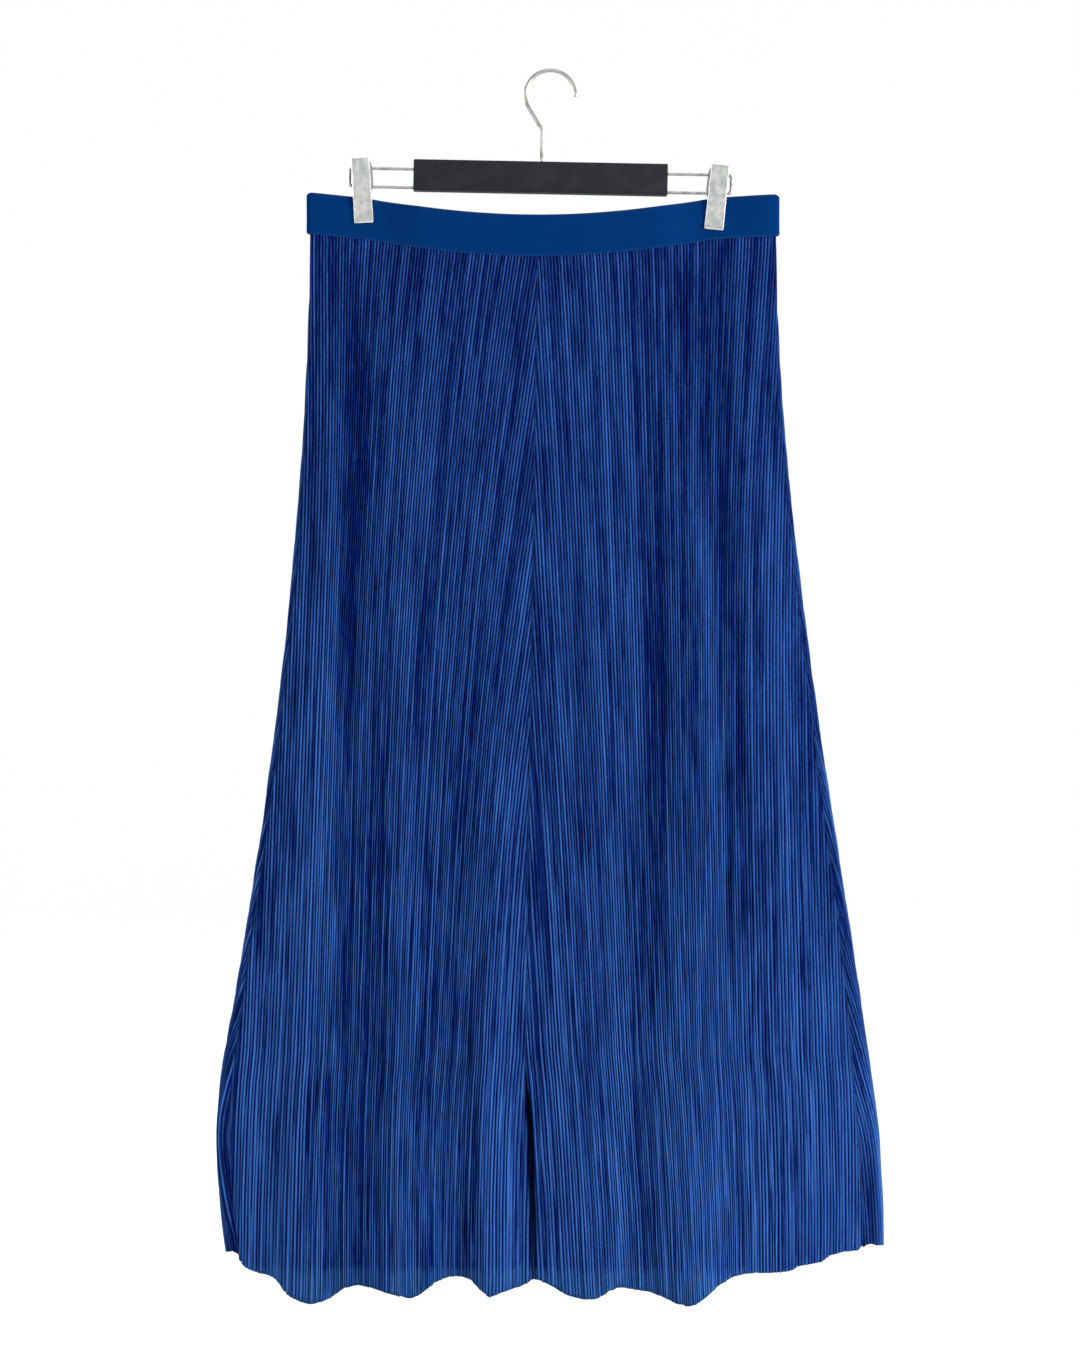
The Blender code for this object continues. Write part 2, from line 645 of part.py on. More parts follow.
build_waistband(elastic)
build_panel("skirt_front_left", "left", -1, PLEATS_ON_A_FRONT, cloth)
build_panel("skirt_front_right", "right", -1, PLEATS_ON_A_FRONT, cloth)
build_panel("skirt_back", "back", 1, PLEATS_ON_BACK, cloth)
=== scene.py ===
# %% [markdown]
# # A pleated maxi skirt on a clip hanger
#
# The object hangs flat: two front panels and a wide back panel of finely pleated cloth, a ring of
# ribbed elastic, and a hanger with a wire hook, a dark bar and two sprung steel clips. The packed
# solids come in first. Every piece below stands in their frame, in metres, with +Z up, the front
# facing -Y and the origin where the hook rests on its rail.

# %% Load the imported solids
import math

import bmesh
import bpy
import numpy as np
from mathutils import Matrix, Vector


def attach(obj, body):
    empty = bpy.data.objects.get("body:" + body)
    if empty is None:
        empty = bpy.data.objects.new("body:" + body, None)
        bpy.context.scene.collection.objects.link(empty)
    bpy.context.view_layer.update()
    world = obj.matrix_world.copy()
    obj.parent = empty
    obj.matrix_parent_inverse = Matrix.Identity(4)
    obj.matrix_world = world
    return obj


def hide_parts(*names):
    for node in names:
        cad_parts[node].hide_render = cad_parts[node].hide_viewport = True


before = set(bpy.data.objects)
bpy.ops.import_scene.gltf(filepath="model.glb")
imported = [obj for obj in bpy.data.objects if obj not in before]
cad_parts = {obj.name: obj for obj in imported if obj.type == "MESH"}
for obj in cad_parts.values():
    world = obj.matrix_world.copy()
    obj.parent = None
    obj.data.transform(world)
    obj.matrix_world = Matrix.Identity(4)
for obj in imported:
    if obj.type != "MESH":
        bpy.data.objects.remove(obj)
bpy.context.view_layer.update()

# %% [markdown]
# ## The view and the room
#
# The picture is level and straight on, and tall: 1350 pixels for 1.2285 m of skirt. The camera
# stands 2.4 m away, far enough that the pleats at both sides look alike and near enough that the
# underside of the bar just shows. The sensor's 36 mm belong to the picture's long side.

# %% Camera
MM_A_PIXEL = 0.91
PICTURE_HIGH = 1350
CAMERA_DISTANCE = 2.4
SENSOR = 36.0

camera_data = bpy.data.cameras.new("camera")
camera_data.sensor_width = SENSOR
camera_data.lens = SENSOR * CAMERA_DISTANCE / (PICTURE_HIGH * MM_A_PIXEL / 1000)
camera_data.clip_end = 60.0
camera = bpy.data.objects.new("camera", camera_data)
camera.location = (-0.0094, -CAMERA_DISTANCE, -0.5485)
camera.rotation_euler = (math.radians(90), 0.0, 0.0)
bpy.context.scene.collection.objects.link(camera)
bpy.context.scene.camera = camera
print("lens:", round(camera_data.lens, 2), "mm")

# %% [markdown]
# ## Small tools for meshes
#
# Each piece is shaped in a bmesh, which is a mesh that can be edited by operators, and is then put
# in an object at the origin. One function does that last step for all of them, so that names,
# materials, the body that the piece rides on and the solid that it stands for are never forgotten.

# %% Turn a bmesh into a piece
def to_mesh(name, bm, closed=False):
    """The mesh of a bmesh; the faces of a closed one are turned outwards first."""
    if closed:
        bmesh.ops.recalc_face_normals(bm, faces=bm.faces)
    mesh = bpy.data.meshes.new(name)
    bm.to_mesh(mesh)
    bm.free()
    return mesh


def to_object(name, mesh, material, sharp_angle):
    mesh.materials.append(material)
    mesh.shade_smooth()
    mesh.set_sharp_from_angle(angle=math.radians(sharp_angle))
    made = bpy.data.objects.new(name, mesh)
    bpy.context.scene.collection.objects.link(made)
    return made


def make_piece(name, mesh, material, replaces=(), sharp_angle=60.0):
    piece = to_object(name, mesh, material, sharp_angle)
    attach(piece, "root")
    if replaces:
        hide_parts(*replaces)
    return piece


def face_towards(bm, outwardness):
    """Turns all faces over when most of their area faces the wrong way."""
    if sum(outwardness(face.normal) * face.calc_area() for face in bm.faces) < 0:
        bmesh.ops.reverse_faces(bm, faces=bm.faces)


def only(kind, items):
    return [item for item in items if isinstance(item, kind)]


def turned_to(axis, direction):
    """The turn that brings an axis round to a direction."""
    return Vector(axis).rotation_difference(direction).to_matrix().to_4x4()


def triangles(piece):
    seen = piece.evaluated_get(bpy.context.evaluated_depsgraph_get()).to_mesh()
    return sum(len(face.vertices) - 2 for face in seen.polygons)


# %% [markdown]
# ## Shader maths as plain expressions
#
# A material is a graph of nodes, and a formula of five steps is five Math nodes and their links.
# The class below wraps one output socket. Adding or multiplying it adds the Math node, so that a
# formula stays one readable line. Every other kind of node comes from one method, `node`, which
# takes the node's type, its settings and what its inputs get.

# %% The socket class and the material class
class Value:
    """One output of a node tree; arithmetic on it adds Math nodes."""

    def __init__(self, book, socket):
        self.book = book
        self.socket = socket

    def _math(self, operation, a, b):
        return self.book.node("ShaderNodeMath", {"operation": operation}, {0: a, 1: b})

    def __add__(self, other):
        return self._math('ADD', self, other)

    def __radd__(self, other):
        return self._math('ADD', other, self)

    def __sub__(self, other):
        return self._math('SUBTRACT', self, other)

    def __rsub__(self, other):
        return self._math('SUBTRACT', other, self)

    def __mul__(self, other):
        return self._math('MULTIPLY', self, other)

    def __rmul__(self, other):
        return self._math('MULTIPLY', other, self)

    def clamp(self):
        return self.book.node("ShaderNodeClamp", {}, {"Value": self})

    def between(self, low, high):
        """0 below low, 1 above high and a soft step between them."""
        return self.book.node("ShaderNodeMapRange", {"interpolation_type": 'SMOOTHSTEP'},
                              {"Value": self, "From Min": low, "From Max": high})


class Finish:
    """A material under construction, with its one Principled shader."""

    def __init__(self, name, color, roughness, metallic=0.0, **constants):
        self.material = bpy.data.materials.new(name)
        self.material.use_nodes = True
        self.material.diffuse_color = (*color, 1.0)
        self.tree = self.material.node_tree
        self.shader = self.tree.nodes["Principled BSDF"]
        self.surface(Base_Color=color, Roughness=roughness, Metallic=metallic, **constants)

    def put(self, socket, value):
        if isinstance(value, Value):
            self.tree.links.new(value.socket, socket)
        elif socket.type == 'RGBA':
            socket.default_value = (*value, 1.0)
        else:
            socket.default_value = value

    def node(self, kind, settings, inputs, output=0):
        node = self.tree.nodes.new(kind)
        for name, value in settings.items():
            setattr(node, name, value)
        for name, value in inputs.items():
            self.put(node.inputs[name], value)
        return Value(self, node.outputs[output])

    def noise(self, scale, detail=2.0, roughness=0.5):
        """Cloudy noise; scale is repeats a metre along x, y and z of the skirt's frame."""
        place = self.node("ShaderNodeTexCoord", {}, {}, "Object")
        stretched = self.node("ShaderNodeMapping", {}, {"Vector": place, "Scale": scale})
        return self.node("ShaderNodeTexNoise", {}, {
            "Vector": stretched, "Scale": 1.0, "Detail": detail, "Roughness": roughness})

    def attribute(self, name):
        return self.node("ShaderNodeAttribute", {"attribute_name": name}, {}, "Fac")

    def mix(self, share, low, high):
        return self.node("ShaderNodeMix", {"data_type": 'RGBA'},
                         {"Factor": share, 6: low, 7: high}, 2)

    def bump(self, height, distance, strength=1.0):
        return self.node("ShaderNodeBump", {},
                         {"Height": height, "Distance": distance, "Strength": strength}, "Normal")

    def surface(self, **inputs):
        for name, value in inputs.items():
            self.put(self.shader.inputs[name.replace("_", " ")], value)
        return self.material


# %% [markdown]
# ## The form in which the skirt hangs
#
# Seen from above, the skirt is a long flat loop: two nearly parallel layers with round side edges,
# pressed together where the clips hold it. The tables give that loop from the waist to the hem,
# the long soft folds that stand out from it, and the seams. They are the numbers of the solids, so
# the cloth lies on its solids. Only the hem has a finer line here, placed point by point in front,
# and the back's reaches lower behind the slit, where cloth and not background is seen.

# %% Tables of the hanging form
def table(*rows):
    """Rows given in millimetres, in the order of their first column, as metres."""
    return np.array(sorted(rows)) / 1000


GAP = 0.0003
BAND_HEIGHT, BAND_WALL, BAND_PROUD = 0.038, 0.0020, 0.0026
BAND_Z_AT_CLIPS, BAND_SAG, BAND_RISE_LEFT, BAND_RISE_RIGHT = -0.1139, 0.0170, 0.0058, 0.0027
BAND_SOFTNESS, BAND_MIDDLE, BAND_HALF_SPAN = 0.12, -0.0107, 0.1597

LENS_POWER = 4
PINCH_HALF_DEPTH = BAND_WALL / 2 + GAP / 2
PINCH_FLAT, PINCH_FADE, PINCH_END_Z, PINCH_FADE_DOWN = 0.012, 0.045, -0.1445, 0.030
GRIPS_X = (-0.1703, 0.1490)

SECTION_COLUMNS = ("z", "left", "right", "depth", "edge", "wrap_left", "wrap_right")
SECTIONS = table(
    (-100, -218.6, 205.3, 8.0, 3.5, 0.0, 0.0),
    (-150, -218.6, 205.3, 8.8, 3.5, 0.0, 0.0),
    (-300, -222.6, 210.6, 13.0, 5.0, 1.0, 1.0),
    (-480, -236.8, 228.9, 17.0, 6.5, 3.5, 4.0),
    (-660, -258.0, 253.6, 20.0, 8.0, 4.5, 7.5),
    (-845, -287.0, 282.0, 22.5, 9.0, 8.0, 13.0),
    (-915, -299.2, 292.0, 23.5, 9.5, 11.0, 17.5),
    (-960, -303.2, 298.0, 24.0, 10.0, 12.5, 19.5),
    (-1010, -301.3, 301.0, 24.5, 10.0, 12.2, 19.2),
    (-1065, -295.5, 302.7, 25.0, 10.0, 12.2, 19.8),
    (-1130, -289.0, 303.0, 25.0, 10.0, 12.2, 20.0))

# Height, place and open width of the centre seam, which is a slit from 0.89 m down.
CENTRE_SEAM = table(
    (-150, -11.2, 0.3), (-890, -23.0, 0.3), (-917, -21.7, 2.7), (-955, -18.5, 4.0),
    (-1030, -16.2, 4.7), (-1096, -15.1, 3.1), (-1130, -15.1, 3.1))

# Place and height of the hem.
HEM_FRONT = table(
    (-286.7, -1073.5), (-275.9, -1085.2), (-265.1, -1088.8), (-252.5, -1090.6), (-246.2, -1093.3),
    (-239.9, -1101.4), (-232.7, -1107.7), (-222.8, -1111.3), (-214.7, -1113.1), (-205.7, -1112.2),
    (-195.8, -1107.7), (-185.0, -1100.5), (-173.3, -1097.8), (-160.7, -1099.6), (-144.5, -1104.1),
    (-124.6, -1107.7), (-116.5, -1105.0), (-109.3, -1098.7), (-101.2, -1093.3), (-90.4, -1089.7),
    (-79.6, -1089.7), (-71.5, -1092.4), (-63.4, -1100.5), (-54.4, -1106.8), (-42.7, -1102.3),
    (-27.4, -1098.7), (-20.2, -1096.0), (-16.6, -1092.4), (-9.4, -1093.3), (-0.4, -1096.9),
    (14.0, -1105.0), (30.2, -1108.6), (42.9, -1107.7), (53.7, -1101.4), (62.7, -1098.7),
    (75.3, -1101.4), (89.7, -1103.2), (102.3, -1107.7), (113.1, -1112.2), (123.9, -1114.0),
    (132.9, -1110.4), (141.9, -1104.1), (150.9, -1096.9), (161.7, -1091.5), (174.3, -1087.9),
    (197.7, -1087.0), (214.0, -1085.2), (222.1, -1080.7), (242.8, -1078.0), (250.9, -1072.6),
    (265.3, -1069.9), (278.5, -1069.2), (282.4, -1065.0))
HEM_BACK = table(
    (-303, -1073.0), (-296, -1072.2), (-287, -1071.0), (-274, -1078.0), (-230, -1085.0),
    (230, -1082.0), (274, -1072.5), (287, -1064.2), (296, -1065.2), (303, -1066.5))

# Long soft folds of the front, -1, and the back, 1: place at the waist and at the hem, half width,
# and how far they stand out at the waist and at the hem.
FOLDS = {
    -1: table((-196, -218, 29, 1.5, 14), (-128, -132, 31, 1.5, 11), (-64, -54, 21, 0.8, 10),
              (36, 32, 33, 1.0, 11), (106, 125, 31, 1.5, 14), (191, 222, 27, 1.5, 7)),
    1: table((-180, -214, 30, 1.5, 12), (-100, -120, 34, 1.2, 13), (-10, -22, 30, 1.0, 10),
             (70, 84, 36, 1.5, 14), (160, 196, 30, 1.5, 11)),
}
BACK_HEM_DROPS = (0.0090, 0.0070, 0.0235, 0.0080, 0.0060)
FOLD_GROWTH, FOLD_ONSET, FOLD_EDGE = 1.8, 0.17, 0.030
FOLD_TOP_Z, FOLD_HEM_Z = -0.160, -1.095

# %% [markdown]
# Between their rows, the tables of the seam, the hem and the pleats' lean are read in straight
# lines. The sides and the depth of the skirt are given at a few heights only, so they follow a
# smooth curve through their rows, or the outline would show a corner at each of them.

# %% Read the tables
def smooth_step(t):
    t = np.clip(t, 0.0, 1.0)
    return t * t * (3.0 - 2.0 * t)


def bell(distance, width):
    return np.exp(-(distance / width) ** 2)


def between_rows(rows, column, at):
    """A column read along the first one, in straight lines from row to row."""
    return np.interp(at, rows[:, 0], rows[:, column])


def along_curve(rows, column, at):
    """A column read along the first one, as a smooth curve through the rows."""
    key, value = rows[:, 0], rows[:, column]
    slope = np.gradient(value, key)
    i = np.clip(np.searchsorted(key, at) - 1, 0, len(key) - 2)
    span = key[i + 1] - key[i]
    t = (np.clip(at, key[0], key[-1]) - key[i]) / span
    start = (1 + 2 * t) * (1 - t) ** 2 * value[i] + t * (1 - t) ** 2 * span * slope[i]
    end = t * t * (3 - 2 * t) * value[i + 1] - t * t * (1 - t) * span * slope[i + 1]
    return start + end


def band_top(x):
    """Height of the band's top edge, which hangs through between the clips."""
    inside = 1.0 - ((x - BAND_MIDDLE) / BAND_HALF_SPAN) ** 2
    sag, rise = ((value + np.hypot(value, BAND_SOFTNESS)) / 2 for value in (inside, -inside))
    return (BAND_Z_AT_CLIPS - BAND_SAG * sag
            + np.where(x < BAND_MIDDLE, BAND_RISE_LEFT, BAND_RISE_RIGHT) * rise)


def share_down(z):
    return np.clip((FOLD_TOP_Z - z) / (FOLD_TOP_Z - FOLD_HEM_Z), 0.0, 1.0)


def hem_height(x, side):
    """Height of the hem; the back's is lower where one of its long folds comes forward."""
    if side < 0:
        return between_rows(HEM_FRONT, 1, x)
    height = between_rows(HEM_BACK, 1, x)
    for fold, drop in zip(FOLDS[side], BACK_HEM_DROPS):
        height = height - drop * bell(x - fold[1], fold[2])
    return height

# %% [markdown]
# A point of the cloth is found from its height and its distance along the cloth. Working that out
# afresh for a quarter of a million points would be slow, so the loop is measured once at every
# 2 mm of height, and points between are read from that table. A distance below zero, or past the
# loop's right end, turns round the side edge on to the other layer, as the wide back panel does.

# %% The hanging form
class HangingForm:
    """The skirt's mid-cloth surface; grow moves the side edges out."""

    TOP, BOTTOM, LEVELS, SHARES = -0.100, -1.130, 516, 1201
    ACROSS_POINTS, EDGE_POINTS, SLOPE_STEP = 361, 24, 0.0006

    def __init__(self, grow=0.0):
        heights = np.linspace(self.TOP, self.BOTTOM, self.LEVELS)
        self.x, self.y = np.zeros((2, self.LEVELS, self.SHARES))
        self.known = {name: along_curve(SECTIONS, column, heights)
                      for column, name in enumerate(SECTION_COLUMNS) if column}
        self.known["left"] -= grow
        self.known["right"] += grow
        self.known["length"] = np.zeros(self.LEVELS)
        turn = np.linspace(0.0, math.pi / 2, self.EDGE_POINTS, endpoint=False)
        for level, z in enumerate(heights):
            left, right, depth, edge = (self.known[name][level]
                                        for name in ("left", "right", "depth", "edge"))
            across = np.linspace(left + edge, right - edge, self.ACROSS_POINTS)
            half = self.half_depth(across, z, left, right, depth, edge)
            x = np.concatenate([left + edge * (1 - np.cos(turn)), across,
                                right - edge * (1 - np.cos(turn[::-1]))])
            y = np.concatenate([half[0] * np.sin(turn), half, half[-1] * np.sin(turn[::-1])])
            along = np.concatenate([[0.0], np.cumsum(np.hypot(np.diff(x), np.diff(y)))])
            even = np.linspace(0.0, along[-1], self.SHARES)
            self.known["length"][level] = along[-1]
            self.x[level], self.y[level] = np.interp(even, along, x), np.interp(even, along, y)

    @staticmethod
    def half_depth(x, z, left, right, depth, edge):
        """Half the distance between the layers, which the clips press together."""
        half_width = (right - left) / 2 - edge
        off_middle = np.clip(np.abs((x - (left + right) / 2) / half_width), 0.0, 1.0)
        free = edge + (depth - edge) * (1.0 - off_middle ** LENS_POWER)
        from_grip = np.min([np.abs(x - grip_x) for grip_x in GRIPS_X], axis=0)
        pinch = 1 - smooth_step((from_grip - PINCH_FLAT) / PINCH_FADE)
        pinch *= math.exp(min(0.0, (z - PINCH_END_Z) / PINCH_FADE_DOWN))
        return free + (PINCH_HALF_DEPTH - free) * pinch

    def level(self, z):
        return np.clip((z - self.TOP) / (self.BOTTOM - self.TOP), 0.0, 1.0) * (self.LEVELS - 1)

    def read(self, name, z):
        return np.interp(self.level(z), np.arange(self.LEVELS), self.known[name])

    def to_side(self, x, z):
        """How far a place is inside the nearer side edge."""
        return np.minimum(x - self.read("left", z), self.read("right", z) - x)

    def across(self, z, along):
        """x, and y taken as positive on the first layer and negative past an edge."""
        length = self.read("length", z)
        turned = (along < 0) | (along > length)
        inside = np.where(along > length, 2 * length - along, np.abs(along))
        row = self.level(z)
        share = np.clip(inside / length, 0.0, 1.0) * (self.SHARES - 1)
        i = np.clip(row.astype(int), 0, self.LEVELS - 2)
        j = np.clip(share.astype(int), 0, self.SHARES - 2)
        u, v = row - i, share - j
        x, y = ((grid[i, j] * (1 - v) + grid[i, j + 1] * v) * (1 - u)
                + (grid[i + 1, j] * (1 - v) + grid[i + 1, j + 1] * v) * u
                for grid in (self.x, self.y))
        return x, np.where(turned, -y, y), turned

    def along_at(self, heights, places):
        """Distances along the cloth, from the left edge, of places on a layer."""
        even = np.linspace(0.0, 1.0, self.SHARES)
        rows = np.rint(self.level(heights)).astype(int)
        return np.array([np.interp(x, self.x[row], even) * self.known["length"][row]
                         for row, x in zip(rows, places)])

    def surface(self, z, along, side, out=0.0):
        """Points of the cloth; side is -1 in front and 1 behind, out is how far off the cloth."""
        x, y, turned = self.across(z, along)
        x0, y0, _ = self.across(z, along - self.SLOPE_STEP)
        x1, y1, _ = self.across(z, along + self.SLOPE_STEP)
        run, rise = x1 - x0, side * (y1 - y0)
        size = np.maximum(np.hypot(run, rise), 1e-9)
        faced = np.where(turned, -side, side)
        lift = out + (fold_lift(x, z, faced) + crease_lift(x, z, faced)) * smooth_step(
            self.to_side(x, z) / FOLD_EDGE)
        return x - side * rise / size * lift, side * (y + run / size * lift)


def fold_lift(x, z, side):
    """How far the long soft folds stand out."""
    down = share_down(z)
    total = np.zeros_like(x)
    for face, rows in FOLDS.items():
        for x_waist, x_hem, width, out_waist, out_hem in rows:
            out = (out_waist * np.minimum(1.0, down / FOLD_ONSET)
                   + (out_hem - out_waist) * down ** FOLD_GROWTH)
            total += np.where(side == face,
                              out * bell(x - x_waist - (x_hem - x_waist) * down, width), 0.0)
    return total


def crease_lift(x, z, side):
    total = np.zeros_like(x)
    for face, rows in CREASES.items():
        for x_top, x_middle, x_foot, z_top, z_foot, width, out in rows:
            t = (z_top - z) / (z_top - z_foot)
            bent = x_middle - (x_top + x_foot) / 2
            centre = x_top + (x_foot - x_top) * t + 4 * bent * t * (1 - t)
            ends = smooth_step(t / CREASE_RUN_IN)
            if z_foot > FOLD_HEM_Z:
                ends = ends * smooth_step((1 - t) / CREASE_RUN_IN)
            total += np.where(side == face, out * ends * bell(x - centre, width), 0.0)
    return total


# %% [markdown]
# The main creases of the cloth are listed one by one: where each is at its top, middle and foot,
# the heights of its top and foot, its half width, and how far it stands out. Troughs are negative.
# The ones in front, -1, follow the broad light and dark bands of the real skirt, and the back, 1,
# has its own of the same kind. A foot below the hem runs out through it.

# %% Creases
CREASE_RUN_IN = 0.25
CREASES = {
    -1: table(
        (-195, -197, -200, -153, -316, 5.0, -1.0), (-174, -175, -176, -153, -316, 6.0, -0.9),
        (-175, -179, -184, -190, -626, 11.0, -2.0), (-179, -183, -187, -571, -1160, 10.0, -1.9),
        (-191, -201, -214, -207, -662, 9.5, 1.3), (-209, -224, -248, -608, -1160, 11.0, 1.4),
        (-262, -266, -275, -860, -1160, 22.0, 1.1), (-132, -134, -144, -426, -1160, 10.5, 1.1),
        (-100, -107, -117, -444, -1160, 8.0, -1.0), (-76, -76, -77, -844, -1160, 6.5, -1.0),
        (-60, -60, -60, -808, -1160, 6.5, 0.7), (-26, -21, -27, -826, -1160, 7.5, -1.0),
        (1, 5, -4, -444, -1160, 8.5, 0.9), (52, 52, 50, -407, -680, 6.5, 0.7),
        (99, 96, 84, -280, -899, 9.5, -1.5), (128, 146, 149, -335, -899, 9.5, 1.4),
        (142, 140, 139, -808, -1160, 11.0, 2.4), (153, 167, 185, -207, -917, 9.0, -1.6),
        (200, 207, 216, -298, -917, 9.0, 1.2), (238, 248, 253, -826, -1160, 9.0, 1.2),
        (239, 245, 246, -680, -862, 6.5, -0.7), (126, 126, 128, -149, -362, 15.0, -0.8),
        (97, 96, 97, -149, -335, 5.0, 0.7), (-13, -13, -13, -149, -389, 9.0, 0.7),
        (-105, -105, -105, -149, -335, 5.0, 0.6), (-76, -76, -76, -149, -335, 5.0, 0.6),
        (37, 39, 41, -881, -1160, 6.0, 0.6), (74, 77, 78, -881, -1160, 8.0, -0.8)),
    1: table(
        (-190, -196, -206, -150, -420, 8.0, -1.1), (-140, -146, -160, -170, -620, 11.0, -1.4),
        (-156, -160, -158, -600, -1160, 10.5, -1.9), (-62, -66, -70, -420, -900, 10.0, -1.4),
        (-68, -60, -56, -860, -1160, 9.5, -1.7), (-104, -110, -118, -500, -1160, 10.0, 1.2),
        (28, 34, 36, -300, -760, 10.0, -1.3), (36, 30, 30, -780, -1160, 10.0, -1.8),
        (72, 78, 86, -450, -1160, 10.0, 1.3), (124, 134, 142, -220, -700, 10.5, -1.5),
        (142, 138, 138, -720, -1160, 10.5, -1.8), (186, 194, 204, -400, -900, 11.0, 1.2),
        (230, 240, 246, -820, -1160, 9.5, -1.2)),
}

form = HangingForm()
print("loop round the hem:", round(2 * float(form.read("length", FOLD_HEM_Z)), 3), "m")

# %% [markdown]
# ## Pleated cloth
#
# The cloth is pressed into pleats 3 mm apart before it is cut. Each front panel is cut on a slant,
# so its pleats meet at the centre seam as an arrowhead and run down and away from it: new pleats
# start at the seam all the way down. A pleat is therefore followed as a line that leans more or
# less at each height, and a line that hasn't left the seam yet waits there. The table gives the
# lean in degrees at five places from the seam to the side, first the height in metres. A positive
# lean runs to the viewer's right on the way down.

# %% How the pleats lean
PLEAT_PITCH = 0.0030
LEAN_SHARES = (0.05, 0.25, 0.45, 0.65, 0.88)
LEANS = {
    "left": (
        (-1.010, -1.0, -1.2, -0.4, -0.8, -1.8), (-0.870, -2.6, -2.8, -1.4, -1.5, -2.4),
        (-0.720, -4.8, -3.6, -2.6, -1.2, -1.9), (-0.576, -8.2, -4.6, -3.0, -1.9, -1.8),
        (-0.430, -8.5, -6.2, -4.6, -3.4, -2.0), (-0.285, -8.5, -7.0, -6.2, -3.8, 0.2),
        (-0.150, -9.5, -8.2, -7.2, -5.5, 0.5)),
    "right": (
        (-1.010, 3.4, 3.6, 3.0, 1.4, 0.2), (-0.870, 3.3, 3.0, 2.0, 1.3, 1.4),
        (-0.720, 3.8, 2.6, 1.2, 0.9, 1.3), (-0.576, 3.8, 2.6, 0.9, 0.1, 0.2),
        (-0.430, 3.2, 2.2, 1.6, 0.0, -1.6), (-0.285, 3.6, 2.4, 1.4, -0.8, -3.8),
        (-0.150, 3.4, 3.6, 2.0, -0.6, -4.4)),
}
FLOW_TOP, FLOW_BOTTOM, FLOW_STEPS = -0.140, -1.130, 496
FLOW_HEIGHTS = np.linspace(FLOW_TOP, FLOW_BOTTOM, FLOW_STEPS)
SPARE_PLEATS = 62
SEAM_GAP = 0.00004

# %% [markdown]
# The panels meet at a seam on each side, where the back turns round to the front, and at the centre
# seam. All three are found as distances along the cloth. A front panel's pleats start at the waist
# and are followed down step by step; those of the back run straight down beside its middle.

# %% Edges of the panels, and the pleats' lines, along the cloth
def seam_edges(panel, z):
    """Where a panel starts and ends at a height, as distances along the loop."""
    left_seam = form.along_at(z, form.read("left", z) + form.read("wrap_left", z))
    right_seam = form.along_at(z, form.read("right", z) - form.read("wrap_right", z))
    if panel == "back":
        return -left_seam + SEAM_GAP, 2 * form.read("length", z) - right_seam - SEAM_GAP
    centre = form.along_at(z, between_rows(CENTRE_SEAM, 1, z))
    half_gap = np.maximum(between_rows(CENTRE_SEAM, 2, z) - GAP, 2 * SEAM_GAP) / 2
    if panel == "left":
        return left_seam + SEAM_GAP, centre - half_gap
    return centre + half_gap, right_seam - SEAM_GAP


def lean_at(panel, z, share):
    """Sideways run for each metre down; share is 0 at the centre seam and 1 at the side."""
    rows = np.array(LEANS[panel])
    degrees = [between_rows(rows, 1 + number, z) for number in range(len(LEAN_SHARES))]
    return np.tan(np.radians(np.interp(share, LEAN_SHARES, degrees)))


def front_flow(panel):
    """Each half pleat's distance along the cloth at each height, before it is held at a seam."""
    start, end = seam_edges(panel, FLOW_HEIGHTS)
    seam, side, inward = (end, start, 1.0) if panel == "left" else (start, end, -1.0)
    spare = SPARE_PLEATS * PLEAT_PITCH
    place = seam[0] - inward * np.arange(-spare, abs(seam[0] - side[0]) + spare, PLEAT_PITCH / 2)
    seen_seam = between_rows(CENTRE_SEAM, 1, FLOW_HEIGHTS)
    drop = (FLOW_TOP - FLOW_BOTTOM) / (FLOW_STEPS - 1)
    flow = [place]
    for step in range(FLOW_STEPS - 1):
        share = (seam[step] - place) * inward / abs(seam[step] - side[step])
        seam_shift = (seam[step + 1] - seam[step]) - (seen_seam[step + 1] - seen_seam[step])
        place = place + lean_at(panel, FLOW_HEIGHTS[step], share) * drop + seam_shift
        flow.append(place)
    flow = np.array(flow).T
    return flow[np.argsort(flow[:, 0])], start, end


def back_flow():
    """The back's pleats keep their distance from the middle of the back."""
    start, end = seam_edges("back", FLOW_HEIGHTS)
    middle = form.along_at(FLOW_HEIGHTS, np.full(FLOW_STEPS, BAND_MIDDLE))
    half = max(np.max(middle - start), np.max(end - middle)) + PLEAT_PITCH
    count = int(half / (PLEAT_PITCH / 2))
    from_middle = np.arange(-count, count + 1) * PLEAT_PITCH / 2
    return middle[None, :] + from_middle[:, None], start, end


# %% [markdown]
# Real pleats aren't ruled lines. Near the waist they are crisp and even. Further down the press
# holds less: they swell, pinch, wander a little and die out for a few centimetres, which gives the
# cloth its streaks. Layers of smooth random numbers do this, with a fixed seed so that the cloth is
# the same every time: a long and a short one for each pleat, and a broad one that neighbouring
# pleats share. The same numbers are kept as attributes, so that a flat pleat is also a paler one.

# %% Uneven pleats
PLEAT_HALF_DEPTH = 0.00078
LONG_STREAK, SHORT_STREAK, BROAD_STREAK, WANDER_STREAK = 0.210, 0.038, 0.380, 0.0608
BROAD_PLEATS = 3.0
EDGE_FLAT = 0.0012
UNEVEN_TOP, UNEVEN_HEM, UNEVEN_FROM, UNEVEN_OVER = 0.16, 0.50, 0.12, 0.75
WANDER, LONG_SWELL, SHORT_SWELL, CREST_SHIFT = 0.26, 0.8, 0.6, 0.5
STRENGTH_LEAST, STRENGTH_MOST = 0.15, 1.75
STREAK_SHARES = (0.70, 0.50, 0.22)
BAND_OVERLAP = 0.0008
LEVEL_TOP, LEVEL_FOOT = -0.205, -1.035
SEAM_DIP, SEAM_DIP_WIDTH = 0.0009, 0.0014
HEM_STEP, HEM_STEP_HIGH = 0.00025, 0.004


